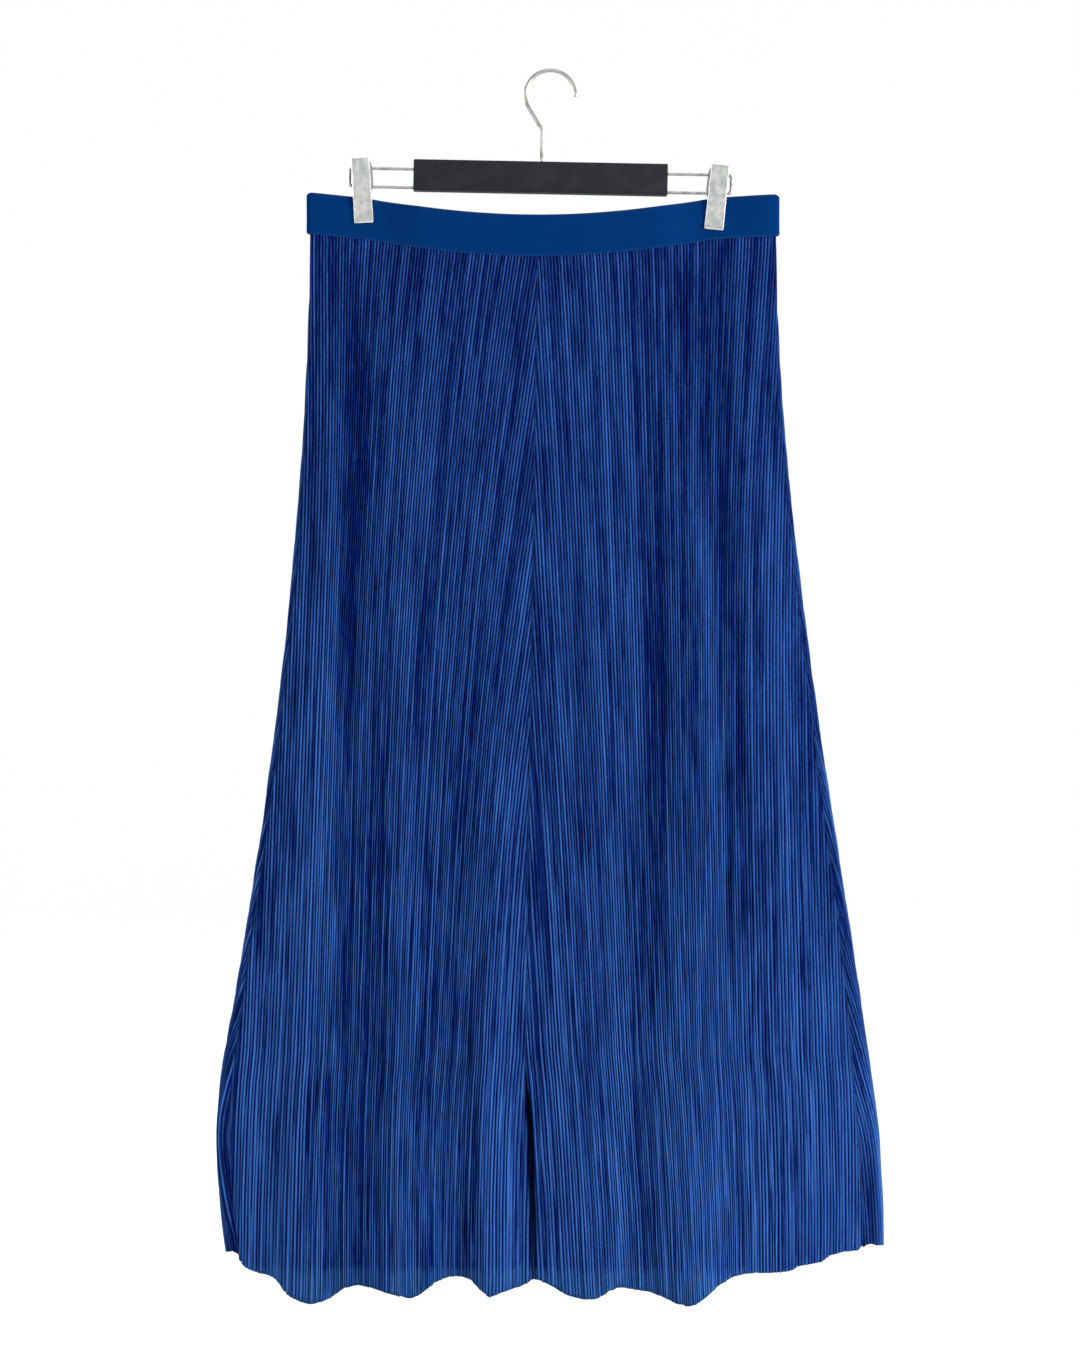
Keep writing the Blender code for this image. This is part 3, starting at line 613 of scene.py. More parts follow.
def streaks(rng, lines, length, share_across=0.0):
    """Smooth random numbers along each line, one every length metres, as a function of height."""
    knots = int((FLOW_TOP - FLOW_BOTTOM) / length) + 3
    values = rng.standard_normal((lines, knots))
    shift = rng.random(lines)
    if share_across:
        reach = np.arange(-int(3 * share_across), int(3 * share_across) + 1)
        weight = np.exp(-0.5 * (reach / share_across) ** 2)
        values = np.stack([np.convolve(column, weight, "same") for column in values.T], axis=1)
        values /= values.std()
        shift[:] = 0.0

    def at(line, z):
        t = (FLOW_TOP - z) / length + shift[line]
        i = np.clip(t.astype(int), 0, knots - 2)
        u = smooth_step(t - i)
        return values[line, i] * (1 - u) + values[line, i + 1] * u
    return at


def cloth_points(panel, side, rows_top, rows_middle, rows_hem, seed):
    """Places and shading numbers of a panel's grid of points, from the band to the hem."""
    flow, start, end = back_flow() if panel == "back" else front_flow(panel)
    lines = len(flow)
    rng = np.random.default_rng(seed)
    long_streak = streaks(rng, lines, LONG_STREAK)
    short_streak = streaks(rng, lines, SHORT_STREAK)
    broad_streak = streaks(rng, lines, BROAD_STREAK, BROAD_PLEATS)
    wander = streaks(rng, lines, WANDER_STREAK)
    line = np.arange(lines)[None, :]

    def along_at_height(z):
        step = np.clip((FLOW_TOP - z) / (FLOW_TOP - FLOW_BOTTOM), 0, 1) * (FLOW_STEPS - 1)
        i = np.clip(step.astype(int), 0, FLOW_STEPS - 2)
        u = step - i
        place = flow[line, i] * (1 - u) + flow[line, i + 1] * u
        low, high = (np.interp(step, np.arange(FLOW_STEPS), edge) for edge in (start, end))
        return place, low, high

    def seen_x(z):
        return form.across(z, np.clip(*along_at_height(z)))[0]

    top = np.full((1, lines), FOLD_TOP_Z)
    foot = np.full((1, lines), FOLD_HEM_Z)
    for _ in range(4):
        top = band_top(seen_x(top)) - BAND_HEIGHT + BAND_OVERLAP
        foot = hem_height(seen_x(foot), side)
    down, middle, hem = (np.linspace(first, last, count)[:, None] for first, last, count in
                         ((0, 1, rows_top), (LEVEL_TOP, LEVEL_FOOT, rows_middle), (0, 1, rows_hem)))
    z = np.concatenate([top + (LEVEL_TOP - top) * down[:-1],
                        np.broadcast_to(middle, (rows_middle, lines)),
                        LEVEL_FOOT + (foot - LEVEL_FOOT) * hem[1:]])
    place, low, high = along_at_height(z)
    line = np.broadcast_to(line, z.shape)
    pleat = line // 2
    uneven = UNEVEN_TOP + (UNEVEN_HEM - UNEVEN_TOP) * smooth_step(
        (share_down(z) - UNEVEN_FROM) / UNEVEN_OVER)
    at_hem = 1 - smooth_step((z - foot) / HEM_STEP_HIGH)
    place = place + PLEAT_PITCH * WANDER * uneven * wander(line, z)
    inside = np.minimum(place - low, high - place)
    ridge = np.where(line % 2 == 1, 1.0, -1.0)
    settled = smooth_step(inside / EDGE_FLAT)
    strength = 1.0 + uneven * (LONG_SWELL * long_streak(pleat, z)
                               + SHORT_SWELL * short_streak(line, z))
    strength = np.clip(strength, STRENGTH_LEAST, STRENGTH_MOST) * settled
    out = PLEAT_HALF_DEPTH * (strength * ridge
                              + CREST_SHIFT * uneven * short_streak(pleat, z) * settled)
    out = out - SEAM_DIP * bell(inside, SEAM_DIP_WIDTH)
    z = z + HEM_STEP * wander(line // 3, np.full_like(z, -0.5)) * at_hem
    x, y = form.surface(z, np.clip(place, low, high), side, out)
    streak = sum(share * numbers(pleat, z) for share, numbers in
                 zip(STREAK_SHARES, (long_streak, short_streak, broad_streak)))
    # Shading numbers. The first paints a highlight on each crest, 1, and shade in each valley, 0.
    shade = {"crest_light_valley_shade": np.clip(0.5 + 0.5 * ridge * np.minimum(strength, 1.0), 0.0, 1.0),
             # How pale the pleat is: a random tone with painted light and shade in it.
             "tone_and_painted_light": cloth_tone_and_light(x, z, side, streak),
             # Painted shade along the seams.
             "seam": SEAM_SHADE * bell(inside, SEAM_SHADE_WIDTH),
             "light_through_one_layer": np.zeros_like(z)}
    if side < 0:
        # Painted shade down the open slit, kept with the seams' painted shade.
        from_centre = np.maximum(high - place if panel == "left" else place - low, 0.0)
        slit_shade = smooth_step((SLIT_Z - z) / SLIT_FADE) * bell(from_centre, SLIT_SHADE_WIDTH)
        shade["seam"] = np.maximum(shade["seam"], slit_shade)
        # Painted light where the front hangs below the back, with nothing behind it.
        shade["light_through_one_layer"] = smooth_step((ONE_LAYER_Z - z) / ONE_LAYER_FADE)
    return np.stack([x, y, z], axis=-1), shade


# %% [markdown]
# How pale each point is comes from its pleat's streaks, a random tone, and from the creases, whose
# troughs get painted shade and whose ridges get painted light. The light of the real picture is
# helped a little with more painted light and shade: a painted shadow under the band, painted light
# towards the hem and its right end, a painted pale band inside the left edge, and painted shade
# where the back turns round to the front. The front hangs a little below the back, and is painted
# paler there, for the light that shines through it where nothing is behind it.

# %% How pale the cloth is
MEAN_TONE, TONE, TONE_AT_TOP, TONE_GROWS = 0.49, 0.33, 0.85, 0.70
CREASE_SHADE_AND_LIGHT, CREASE_LIFT, CREASE_MOST = 0.30, 0.0015, 1.6
BAND_SHADOW, TOP_FADE = -0.19, 0.18
FOOT_LIGHT, FOOT_TO_RIGHT, FOOT_TO_SIDES = 0.34, 1.36, 1.00
STRIP_SHADE, STRIP_SHADE_IN, STRIP_SHADE_WIDTH = 0.62, 0.0130, 0.0065
STRIP_SHADE_FROM, STRIP_SHADE_OVER = 0.84, 0.08
LEFT_LIGHT, LEFT_LIGHT_IN, LEFT_LIGHT_WIDTH = 0.50, 0.040, 0.028
LEFT_LIGHT_FROM, LEFT_LIGHT_OVER = 0.25, 0.30
SEAM_SHADE, SEAM_SHADE_WIDTH, SLIT_SHADE_WIDTH = 0.6, 0.0009, 0.0015
SLIT_Z, SLIT_FADE, ONE_LAYER_Z, ONE_LAYER_FADE = -0.905, 0.030, -1.081, 0.004


def cloth_tone_and_light(x, z, side, streak):
    down = share_down(z)
    tone_and_painted_light = MEAN_TONE + TONE * (TONE_AT_TOP + TONE_GROWS * down) * streak
    # Painted shade in the creases' troughs and painted light on their ridges.
    tone_and_painted_light += CREASE_SHADE_AND_LIGHT * np.clip(crease_lift(x, z, side) / CREASE_LIFT, -CREASE_MOST, CREASE_MOST)
    # A painted shadow under the band.
    tone_and_painted_light += BAND_SHADOW * np.exp(-down / TOP_FADE)
    # Painted light towards the hem, growing towards its right end.
    tone_and_painted_light += smooth_step((down - 0.5) / 0.5) * (
        FOOT_LIGHT + FOOT_TO_RIGHT * x + FOOT_TO_SIDES * x ** 2)
    if side < 0:
        begun = smooth_step((down - LEFT_LIGHT_FROM) / LEFT_LIGHT_OVER) * (0.5 + 0.5 * down)
        tone_and_painted_light += LEFT_LIGHT * begun * bell(
            x - form.read("left", z) - LEFT_LIGHT_IN, LEFT_LIGHT_WIDTH)
    else:
        begun = smooth_step((down - STRIP_SHADE_FROM) / STRIP_SHADE_OVER)
        tone_and_painted_light = np.minimum(tone_and_painted_light, 1.0) - STRIP_SHADE * begun * bell(
            form.to_side(x, z) - STRIP_SHADE_IN, STRIP_SHADE_WIDTH)
    return np.clip(tone_and_painted_light, 0.0, 1.0)


# %% [markdown]
# `create_grid` makes the sheet, one column of points for each crest and each valley, and the places
# above are written into it. The lines that wait at a seam lie on each other there, and
# `remove_doubles` makes them one. Solidify gives the thin cloth its thickness.

# %% Make a panel from its grid
CLOTH_THICK = 0.0004
MERGE = 0.000004
PLEAT_SHARP_ANGLE = 30.0


def thicken(piece, name, thickness):
    thick = piece.modifiers.new(name, 'SOLIDIFY')
    thick.thickness = thickness
    thick.offset = 0.0


def sheet_of_points(points, shade):
    """A grid of rows of points, with a float attribute for each name in shade."""
    high, across = points.shape[:2]
    bm = bmesh.new()
    bmesh.ops.create_grid(bm, x_segments=across - 1, y_segments=high - 1, size=0.5)
    mesh = bpy.data.meshes.new("sheet")
    bm.to_mesh(mesh)
    mesh.vertices.foreach_set("co", points.astype(np.float32).ravel())
    for key, values in shade.items():
        layer = mesh.attributes.new(key, 'FLOAT', 'POINT')
        values = np.broadcast_to(values, (high, across))
        layer.data.foreach_set("value", values.astype(np.float32).ravel())
    bm.clear()
    bm.from_mesh(mesh)
    bpy.data.meshes.remove(mesh)
    bmesh.ops.remove_doubles(bm, verts=bm.verts, dist=MERGE)
    return bm


def pleated_panel(name, panel, side, rows, seed, material, replaces):
    bm = sheet_of_points(*cloth_points(panel, side, *rows, seed))
    bmesh.ops.dissolve_degenerate(bm, dist=MERGE, edges=bm.edges)
    face_towards(bm, lambda normal: side * normal.y)
    area = sum(face.calc_area() for face in bm.faces)
    piece = make_piece(name, to_mesh(name, bm), material, replaces,
                       PLEAT_SHARP_ANGLE)
    thicken(piece, "cloth_thickness", CLOTH_THICK)
    print(name, "cloth area", round(area, 4), "m2,", triangles(piece), "triangles")
    return piece


# %% [markdown]
# ## Cloth
#
# The cloth is a thin polyester of a deep, clear blue. What the eye sees is the press: a bright line
# on each crest and a navy one in each valley, stronger on some pleats than on others. The pleats
# are real in the mesh, but they are barely wider than a pixel of the picture, so the colour repeats
# them as a painted highlight on each crest and painted shade in each valley: one attribute runs
# from 0 in a valley to 1 on a crest, and another says how pale a pleat is, with painted light and
# shade in it. A fine knit is added as bump. The gloss is low, or the blue would turn grey.

# %% Cloth material
cloth = Finish("pleated_polyester", (0.009, 0.038, 0.175), 0.6, Specular_IOR_Level=0.02)
# Painted highlight on the crests and painted shade in the valleys, mixed by where a point lies on
# its pleat.
crest_light_valley_shade = cloth.attribute("crest_light_valley_shade").between(0.12, 0.70)
flecks = cloth.noise((420.0, 420.0, 55.0), detail=3.0, roughness=0.6)
# A random tone with painted light and shade in it, and random flecks.
tone_and_painted_light = (cloth.attribute("tone_and_painted_light") + 1.15 * (flecks - 0.5)).clamp()
valley_shade_blue = cloth.mix(tone_and_painted_light, (0.0001, 0.0004, 0.0400), (0.0006, 0.0080, 0.1500))
crest_highlight_blue = cloth.mix(tone_and_painted_light, (0.0012, 0.0150, 0.1350), (0.0400, 0.1400, 0.4600))
pleat_blue = cloth.mix(crest_light_valley_shade, valley_shade_blue, crest_highlight_blue)
# Painted shade along the seams and down the slit.
pleat_blue = cloth.mix(cloth.attribute("seam"), pleat_blue, (0.0004, 0.0020, 0.0280))
# Painted light where the front hangs alone below the back, standing for light that shines through
# it.
pleat_blue = cloth.mix(cloth.attribute("light_through_one_layer") * 0.28, pleat_blue, (0.0500, 0.1800, 0.4600))
knit = cloth.noise((2600.0, 2600.0, 1500.0), detail=2.0)
cloth_blue = cloth.surface(Base_Color=pleat_blue,
                           Roughness=0.50 + 0.16 * knit,
                           Normal=cloth.bump(knit, 0.00012, 0.5))

FRONT_ROWS = (7, 108, 14)
BACK_ROWS = (6, 70, 10)
left_front, right_front, back_panel = (
    pleated_panel(name, panel, side, rows, seed, cloth_blue, [solid])
    for name, panel, side, rows, seed, solid in (
        ("left_front", "left", -1, FRONT_ROWS, 11, "skirt_front_left"),
        ("right_front", "right", -1, FRONT_ROWS, 12, "skirt_front_right"),
        ("back", "back", 1, BACK_ROWS, 13, "skirt_back")))

# %% [markdown]
# ## Waistband
#
# The band is one ring of wide elastic, 38 mm high, with fine ribs that run round it. The clips
# press its two layers together and it hangs through between them. A grid again makes the sheet:
# its columns go once round the loop and are closer at the side edges, and its rows are the crests
# and valleys of the ribs. The first and the last column meet, and `remove_doubles` closes the ring.
# At both side edges its corners are round, so it is a little less high there.

# %% Waistband
BAND_COLUMNS_A_SIDE = 130
RIB_PITCH, RIB_HALF_DEPTH = 0.00095, 0.00010
BAND_SHEET, BAND_EDGE_ROUND, BAND_BEVEL, BAND_BEVEL_FROM = 0.0013, 0.0012, 0.0004, 70
BAND_CORNER, BAND_CORNER_DROP, BAND_CORNER_LOSS = 0.0045, 0.0024, 1.7
TOP_EDGE_HIGH, LOW_EDGE_HIGH = 0.0034, 0.0022

band_form = HangingForm(BAND_PROUD)


def band_points():
    """Places of the band's points, with the shading numbers of their rows."""
    angle = math.pi * np.arange(2 * BAND_COLUMNS_A_SIDE + 1) / BAND_COLUMNS_A_SIDE
    share = (1.0 - np.cos(angle)) / 2
    rows = 2 * int(BAND_HEIGHT / RIB_PITCH) + 1
    down = np.linspace(0.0, BAND_HEIGHT, rows)[:, None]
    guess = np.full_like(share, BAND_Z_AT_CLIPS)
    x = band_form.across(guess, band_form.read("length", guess) * share)[0]
    corner = BAND_CORNER_DROP * np.clip(
        1 - band_form.to_side(x, guess) / BAND_CORNER, 0.0, 1.0) ** 2
    z = band_top(x) - corner - down * (1 - BAND_CORNER_LOSS * corner / BAND_HEIGHT)
    rib = np.where(np.arange(rows) % 2 == 1, 1.0, -1.0)[:, None]
    out = rib * RIB_HALF_DEPTH * smooth_step(
        np.minimum(down, BAND_HEIGHT - down) / BAND_EDGE_ROUND)
    along = band_form.read("length", z) * share
    front, back = (band_form.surface(z, along, side, out) for side in (-1, 1))
    points = np.stack([*np.where(angle > math.pi, back, front), z], axis=-1)
    points[:, -1] = points[:, 0]
    # Painted highlight on each rib's crest, a greyer painted sheen along the top edge and a painted
    # highlight line along the lower edge.
    return points, {"rib": 0.5 + 0.5 * rib,
                    "top_edge_sheen": 1 - smooth_step(down / TOP_EDGE_HIGH),
                    "low_edge_highlight": 1 - smooth_step((BAND_HEIGHT - down) / LOW_EDGE_HIGH)}


def make_waistband(material):
    bm = sheet_of_points(*band_points())
    bmesh.ops.recalc_face_normals(bm, faces=bm.faces)
    if min(bm.faces, key=lambda face: face.calc_center_median().y).normal.y > 0:
        bmesh.ops.reverse_faces(bm, faces=bm.faces)
    name = "waistband_elastic"
    band = make_piece(name, to_mesh(name, bm), material, ["waistband"])
    thicken(band, "elastic_thickness", BAND_SHEET)
    rounded = band.modifiers.new("rounded_edges", 'BEVEL')
    rounded.limit_method = 'ANGLE'
    rounded.angle_limit = math.radians(BAND_BEVEL_FROM)
    rounded.width = BAND_BEVEL
    rounded.segments = 2
    return band


# %% [markdown]
# The elastic is woven from dull covered rubber, so it hardly shines. Each rib has a faint painted
# highlight on its crest, the weave shows as a fine grain, and the yarn isn't all of one tone. Both
# edges are painted paler: a greyer painted sheen where the band turns over at the top, and a
# painted highlight line where it meets the pleats.

# %% Elastic material
elastic = Finish("ribbed_elastic", (0.0012, 0.033, 0.158), 0.85, Specular_IOR_Level=0.0)
weave = elastic.noise((1500.0, 1500.0, 900.0), detail=2.0, roughness=0.6)
yarn = elastic.noise((60.0, 60.0, 800.0), detail=3.0, roughness=0.6)
# A painted highlight on each rib's crest, with the grain of the weave and the uneven tone of the
# yarn.
rib_highlight_and_yarn = (0.5 * elastic.attribute("rib") + 0.5 * yarn + 0.5 * (weave - 0.5)).clamp()
band_blue = elastic.mix(rib_highlight_and_yarn, (0.0008, 0.0270, 0.1370), (0.0018, 0.0400, 0.1800))
# A greyer painted sheen along the top edge, and a painted highlight line along the lower edge.
band_blue = elastic.mix(elastic.attribute("top_edge_sheen") * 0.55, band_blue, (0.0120, 0.0400, 0.1250))
band_blue = elastic.mix(elastic.attribute("low_edge_highlight") * 0.70, band_blue, (0.0060, 0.0480, 0.2050))
band = make_waistband(elastic.surface(Base_Color=band_blue,
                                      Roughness=0.78 + 0.14 * weave,
                                      Normal=elastic.bump(weave, 0.00012, 0.5)))
print("waistband:", triangles(band), "triangles")

# %% [markdown]
# A row of stitches joins the band to the pleats just above its lower edge. Each stitch is a short
# thread, thickest in its middle and sunk in the elastic at both ends, so a stretched small sphere
# does for it. All of them are one mesh, laid along the real line of the band, front and back.

# %% Band stitches
STITCH_PITCH, STITCH_LONG, STITCH_THICK = 0.0030, 0.0025, 0.00046
STITCH_DOWN, STITCHES_COUNTED_DOWN = 0.0366, 0.0020


def stitch_places():
    """Both ends of every stitch, front and back, on the outside of the band."""
    z_counted = BAND_Z_AT_CLIPS - STITCHES_COUNTED_DOWN
    length = float(band_form.read("length", z_counted))
    count = int(length / STITCH_PITCH)
    ends = np.array([[-STITCH_LONG / 2], [STITCH_LONG / 2]])
    along = (np.arange(count) + 0.5) * length / count + ends
    x = band_form.across(np.full_like(along, z_counted), along)[0]
    z = band_top(x) - STITCH_DOWN
    along = along / length * band_form.read("length", z)
    faces = [band_form.surface(z, along, side, BAND_SHEET / 2 + RIB_HALF_DEPTH)
             for side in (-1, 1)]
    return np.concatenate([np.stack([x, y, z], axis=-1).swapaxes(0, 1) for x, y in faces])


def make_stitches(places, material):
    bm = bmesh.new()
    for start, end in places:
        start, end = Vector(start), Vector(end)
        size = Matrix.Diagonal(((end - start).length / 2, STITCH_THICK / 2, STITCH_THICK / 2, 1.0))
        place = Matrix.Translation((start + end) / 2) @ turned_to((1.0, 0.0, 0.0), end - start)
        bmesh.ops.create_uvsphere(bm, u_segments=6, v_segments=4, radius=1.0, matrix=place @ size)
    mesh = to_mesh("band_stitches", bm, closed=True)
    return make_piece("band_stitches", mesh, material)


thread = Finish("sewing_thread", (0.010, 0.055, 0.210), 0.6, Specular_IOR_Level=0.1)
twist = thread.noise((1800.0, 1800.0, 1800.0), detail=2.0)
thread_blue = thread.surface(
    Base_Color=thread.mix(twist, (0.0060, 0.0420, 0.1750), (0.0150, 0.0700, 0.2500)),
    Roughness=0.5 + 0.2 * twist, Normal=thread.bump(twist, 0.00005, 0.5))
stitch_ends = stitch_places()
stitches = make_stitches(stitch_ends, thread_blue)
print("stitches:", len(stitch_ends), "and", triangles(stitches), "triangles")

# %% [markdown]
# ## The hanger
#
# The hanger is a bar of dark plastic with a steel hook on top and a bent wire at each end, on which
# the clips slide. It hangs a little lower on the right, so its parts are made square to the bar and
# then turned and moved together.

# %% Hanger sizes
HOOK_WIRE, HOOK_INNER_RADIUS, HOOK_ARC = 0.0035, 0.0210, math.radians(211)
STEM_X, STEM_BEND_RADIUS, STEM_IN_BAR = -0.0082, 0.009, 0.011
BAR_LENGTH, BAR_DEPTH, BAR_HEIGHT, BAR_BEVEL = 0.231, 0.013, 0.028, 0.0012
BAR_CENTRE, BAR_TILT = Vector((-0.0089, 0.0, -0.0962)), math.radians(1.1)
SLIDE_WIRE, SLIDE_UPPER, SLIDE_LOWER = 0.0027, 0.0057, -0.0111
SLIDE_REACH, SLIDE_CORNER, SLIDE_IN_BAR = 0.1736, 0.0035, 0.009

HANGER = Matrix.Translation(BAR_CENTRE) @ Matrix.Rotation(BAR_TILT, 4, 'Y')
ALONG_X, ALONG_Y, ALONG_Z = Matrix.Identity(3)
RIGHT_ANGLE = math.radians(90)
WELD = 0.000005


def upright(x, z):
    """A point or a move in the hanger's own plane."""
    return Vector((x, 0.0, z))


# %% [markdown]
# A bent wire is a circle pulled along a line. `spin` carries it round each bend, an extrusion
# carries it along each straight, and a few smaller rings close its ends as a file leaves them.

# %% Pull a wire
# Steps of a filed end: how far out, in radii, and how much smaller than the ring before.
FILED_END = ((0.30, 0.94), (0.28, 0.86), (0.20, 0.70), (0.08, 0.30))


class PulledWire:
    """A round wire that grows from its first ring by straight runs and bends."""

    def __init__(self, start, direction, diameter, sides=20):
        self.bm = bmesh.new()
        self.radius = diameter / 2
        self.end = Vector(start)
        self.direction = Vector(direction).normalized()
        place = Matrix.Translation(self.end) @ turned_to(ALONG_Z, self.direction)
        bmesh.ops.create_circle(self.bm, cap_ends=False, segments=sides, radius=self.radius,
                                matrix=place)
        self.ring = list(self.bm.edges)
        self.round_end(self.ring, -self.direction)

    def pull(self, ring, move, shrink=1.0):
        grown = bmesh.ops.extrude_edge_only(self.bm, edges=ring)["geom"]
        verts = only(bmesh.types.BMVert, grown)
        bmesh.ops.translate(self.bm, verts=verts, vec=move)
        if shrink != 1.0:
            middle = sum((vert.co for vert in verts), Vector()) / len(verts)
            bmesh.ops.scale(self.bm, verts=verts, vec=(shrink,) * 3,
                            space=Matrix.Translation(-middle))
        return [edge for edge in only(bmesh.types.BMEdge, grown)
                if all(vert in verts for vert in edge.verts)]

    def round_end(self, ring, outward):
        for out, shrink in FILED_END:
            ring = self.pull(ring, outward * self.radius * out, shrink)
        bmesh.ops.contextual_create(self.bm, geom=ring)

    def run_to(self, place, steps=1):
        move = place - self.end
        for _ in range(steps):
            self.ring = self.pull(self.ring, move / steps)
        self.end = self.end + move

    def bend(self, centre, axis, angle, steps, drift=0.0):
        """Round a centre; drift is how far a coil moves along its axis in all."""
        spun = bmesh.ops.spin(self.bm, geom=self.ring, cent=centre, axis=axis, angle=angle,
                              steps=steps, dvec=axis * (drift / steps))
        self.ring = only(bmesh.types.BMEdge, spun["geom_last"])
        turn = Matrix.Rotation(angle, 3, axis)
        self.end = centre + turn @ (self.end - centre) + axis * drift
        self.direction = turn @ self.direction

    def finish(self, name, material, solid, place=Matrix.Identity(4)):
        self.round_end(self.ring, self.direction)
        bmesh.ops.remove_doubles(self.bm, verts=self.bm.verts, dist=WELD)
        bmesh.ops.transform(self.bm, matrix=place, verts=self.bm.verts)
        mesh = to_mesh(name, self.bm, closed=True)
        return make_piece(name, mesh, material, [solid])


# %% [markdown]
# The hook starts at its tip, goes over the rail and down a straight to the bend above the bar.
# The two slides are the same U of wire, and the left one is mirrored.

# %% Hook and slides
def make_hook(material):
    centre = upright(0.0, -HOOK_INNER_RADIUS)
    tip = centre + upright(HOOK_INNER_RADIUS + HOOK_WIRE / 2, 0.0)
    wire = PulledWire(tip, ALONG_Z, HOOK_WIRE, 24)
    wire.bend(centre, -ALONG_Y, HOOK_ARC, 64)
    slope = wire.direction
    lean = math.atan2(slope.x, -slope.z)
    corner = wire.end + slope * ((STEM_X - wire.end.x) / slope.x)
    reach = STEM_BEND_RADIUS * math.tan(lean / 2)
    wire.run_to(corner - slope * reach, 2)
    wire.bend(corner + upright(-STEM_BEND_RADIUS, -reach), ALONG_Y, lean, 12)
    bar_top = HANGER @ upright(STEM_X - BAR_CENTRE.x, BAR_HEIGHT / 2)
    wire.run_to(upright(STEM_X, bar_top.z - STEM_IN_BAR), 2)
    return wire.finish("hook", material, "hanger_hook")


def make_slide(side, sign, material):
    inside = BAR_LENGTH / 2 - SLIDE_IN_BAR
    straight = SLIDE_REACH - SLIDE_CORNER
    wire = PulledWire(upright(inside, SLIDE_UPPER), ALONG_X, SLIDE_WIRE, 18)
    wire.run_to(upright(straight, SLIDE_UPPER), 3)
    wire.bend(upright(straight, SLIDE_UPPER - SLIDE_CORNER), ALONG_Y, RIGHT_ANGLE, 10)
    wire.run_to(upright(SLIDE_REACH, SLIDE_LOWER + SLIDE_CORNER))
    wire.bend(upright(straight, SLIDE_LOWER + SLIDE_CORNER), ALONG_Y, RIGHT_ANGLE, 10)
    wire.run_to(upright(inside, SLIDE_LOWER), 3)
    return wire.finish(f"slide_{side}", material, f"wire_loop_{side}",
                       HANGER @ Matrix.Diagonal((sign, 1.0, 1.0, 1.0)))


# %% [markdown]
# ## Bar
#
# The bar is a plain moulding: a cube sized by its own matrix, with all its edges bevelled in four
# steps. Round seats where the wires go in are small turned rings on its ends and its top.

# %% Bar
SEAT_RIM, SEAT_PLAY = 0.0007, 0.0001
# The turned profile of a seat: how far across its rim, as a share, and how high over the bar.
SEAT_PROFILE = ((0.0, -0.0006), (0.0, 0.00015), (0.3, 0.00025), (0.8, 0.00025), (1.0, 0.0),
                (1.0, -0.0006))


def bevel(bm, parts, offset, segments, affect='EDGES'):
    bmesh.ops.bevel(bm, geom=parts, offset=offset, affect=affect, segments=segments,
                    profile=0.5, material=-1)


def seat_ring(bm, centre, normal, hole):
    """A flat round collar, turned as a ring, round a wire's hole of a given radius."""
    place = Matrix.Translation(centre) @ turned_to(ALONG_Z, normal)
    verts = [bm.verts.new(place @ upright(hole + SEAT_RIM * share, up))
             for share, up in SEAT_PROFILE]
    edges = [bm.edges.new(pair) for pair in zip(verts, verts[1:])]
    edges.append(bm.edges.new((verts[-1], verts[0])))
    bmesh.ops.spin(bm, geom=edges, cent=centre, axis=normal, angle=math.tau, steps=28,
                   use_merge=True)


def make_bar(material):
    bm = bmesh.new()
    bmesh.ops.create_cube(bm, size=1.0,
                          matrix=Matrix.Diagonal((BAR_LENGTH, BAR_DEPTH, BAR_HEIGHT, 1.0)))
    bevel(bm, bm.edges[:], BAR_BEVEL, 4)
    for sign in (-1, 1):
        for up in (SLIDE_UPPER, SLIDE_LOWER):
            seat_ring(bm, upright(sign * BAR_LENGTH / 2, up), sign * ALONG_X,
                      SLIDE_WIRE / 2 + SEAT_PLAY)
    seat_ring(bm, upright(STEM_X - BAR_CENTRE.x, BAR_HEIGHT / 2), ALONG_Z,
              HOOK_WIRE / 2 + SEAT_PLAY)
    bmesh.ops.remove_doubles(bm, verts=bm.verts, dist=WELD)
    bmesh.ops.transform(bm, matrix=HANGER, verts=bm.verts)
    mesh = to_mesh("bar", bm, closed=True)
    return make_piece("bar", mesh, material, ["hanger_bar"], 40.0)


# %% [markdown]
# ## Clips
#
# Each clip is two pressed plates and a spring, all on the slide. A plate comes down from the finger
# pads, turns in to the cloth and lies flat on the band, with a small flare at its tip. It starts as
# a grid laid along that side line, with a narrow column at each side for the bright rim, where a
# highlight is painted. Its corners are cut round, Solidify gives it the gauge of the steel and
# Bevel breaks its edges. The upper half has a flange on each side, pressed back, and the one
# towards the bar stands out. Two ears with round holes hold the plate on the wire.

# %% Clip sizes
CLIPS = (("left", -0.1634, -3.1), ("right", 0.1624, 5.8))
CLIP_WIDTH, CLIP_WIDTH_DOWN, CLIP_WIDENING = 0.0168, 0.020, 0.024
CLIP_SHEET, CLIP_CORNER, CLIP_SHARP, CLIP_ROUND = 0.0011, 0.0013, math.radians(50), 0.0003
CLIP_REACH, CLIP_TOP, CLIP_BEND, CLIP_GRIP = 0.0503, 0.0076, 0.0155, 0.0360
CLIP_SPLAY, CLIP_TAPER, CLIP_LIP, CLIP_FLARE = 0.0080, 0.0012, 0.0022, 0.0007
PLATE_STEP, PLATE_COLUMNS, RIM_COLUMN = 0.0016, 6, 0.44
FLANGE_DEPTH, FLANGE_SHEET, FLANGE_FROM, FLANGE_TO = 0.0030, 0.0008, 0.0062, -0.0215
FLANGE_FLARE_INNER, FLANGE_FLARE_OUTER, FLANGE_LEAST, FLANGE_INSIDE = 0.62, 0.10, 0.0005, 0.0004
FLANGE_RUN_IN, FLANGE_RUN_OUT = 0.16, 0.30
EAR_BOSS, EAR_SHEET, EAR_BACK = 0.0032, 0.0010, CLIP_SPLAY + CLIP_SHEET * 0.4
EAR_ROUND_FROM, EAR_ROUND_OVER, EAR_POINTS = 110, 200, 17
EAR_X = {"front": 0.0059, "back": 0.0044}
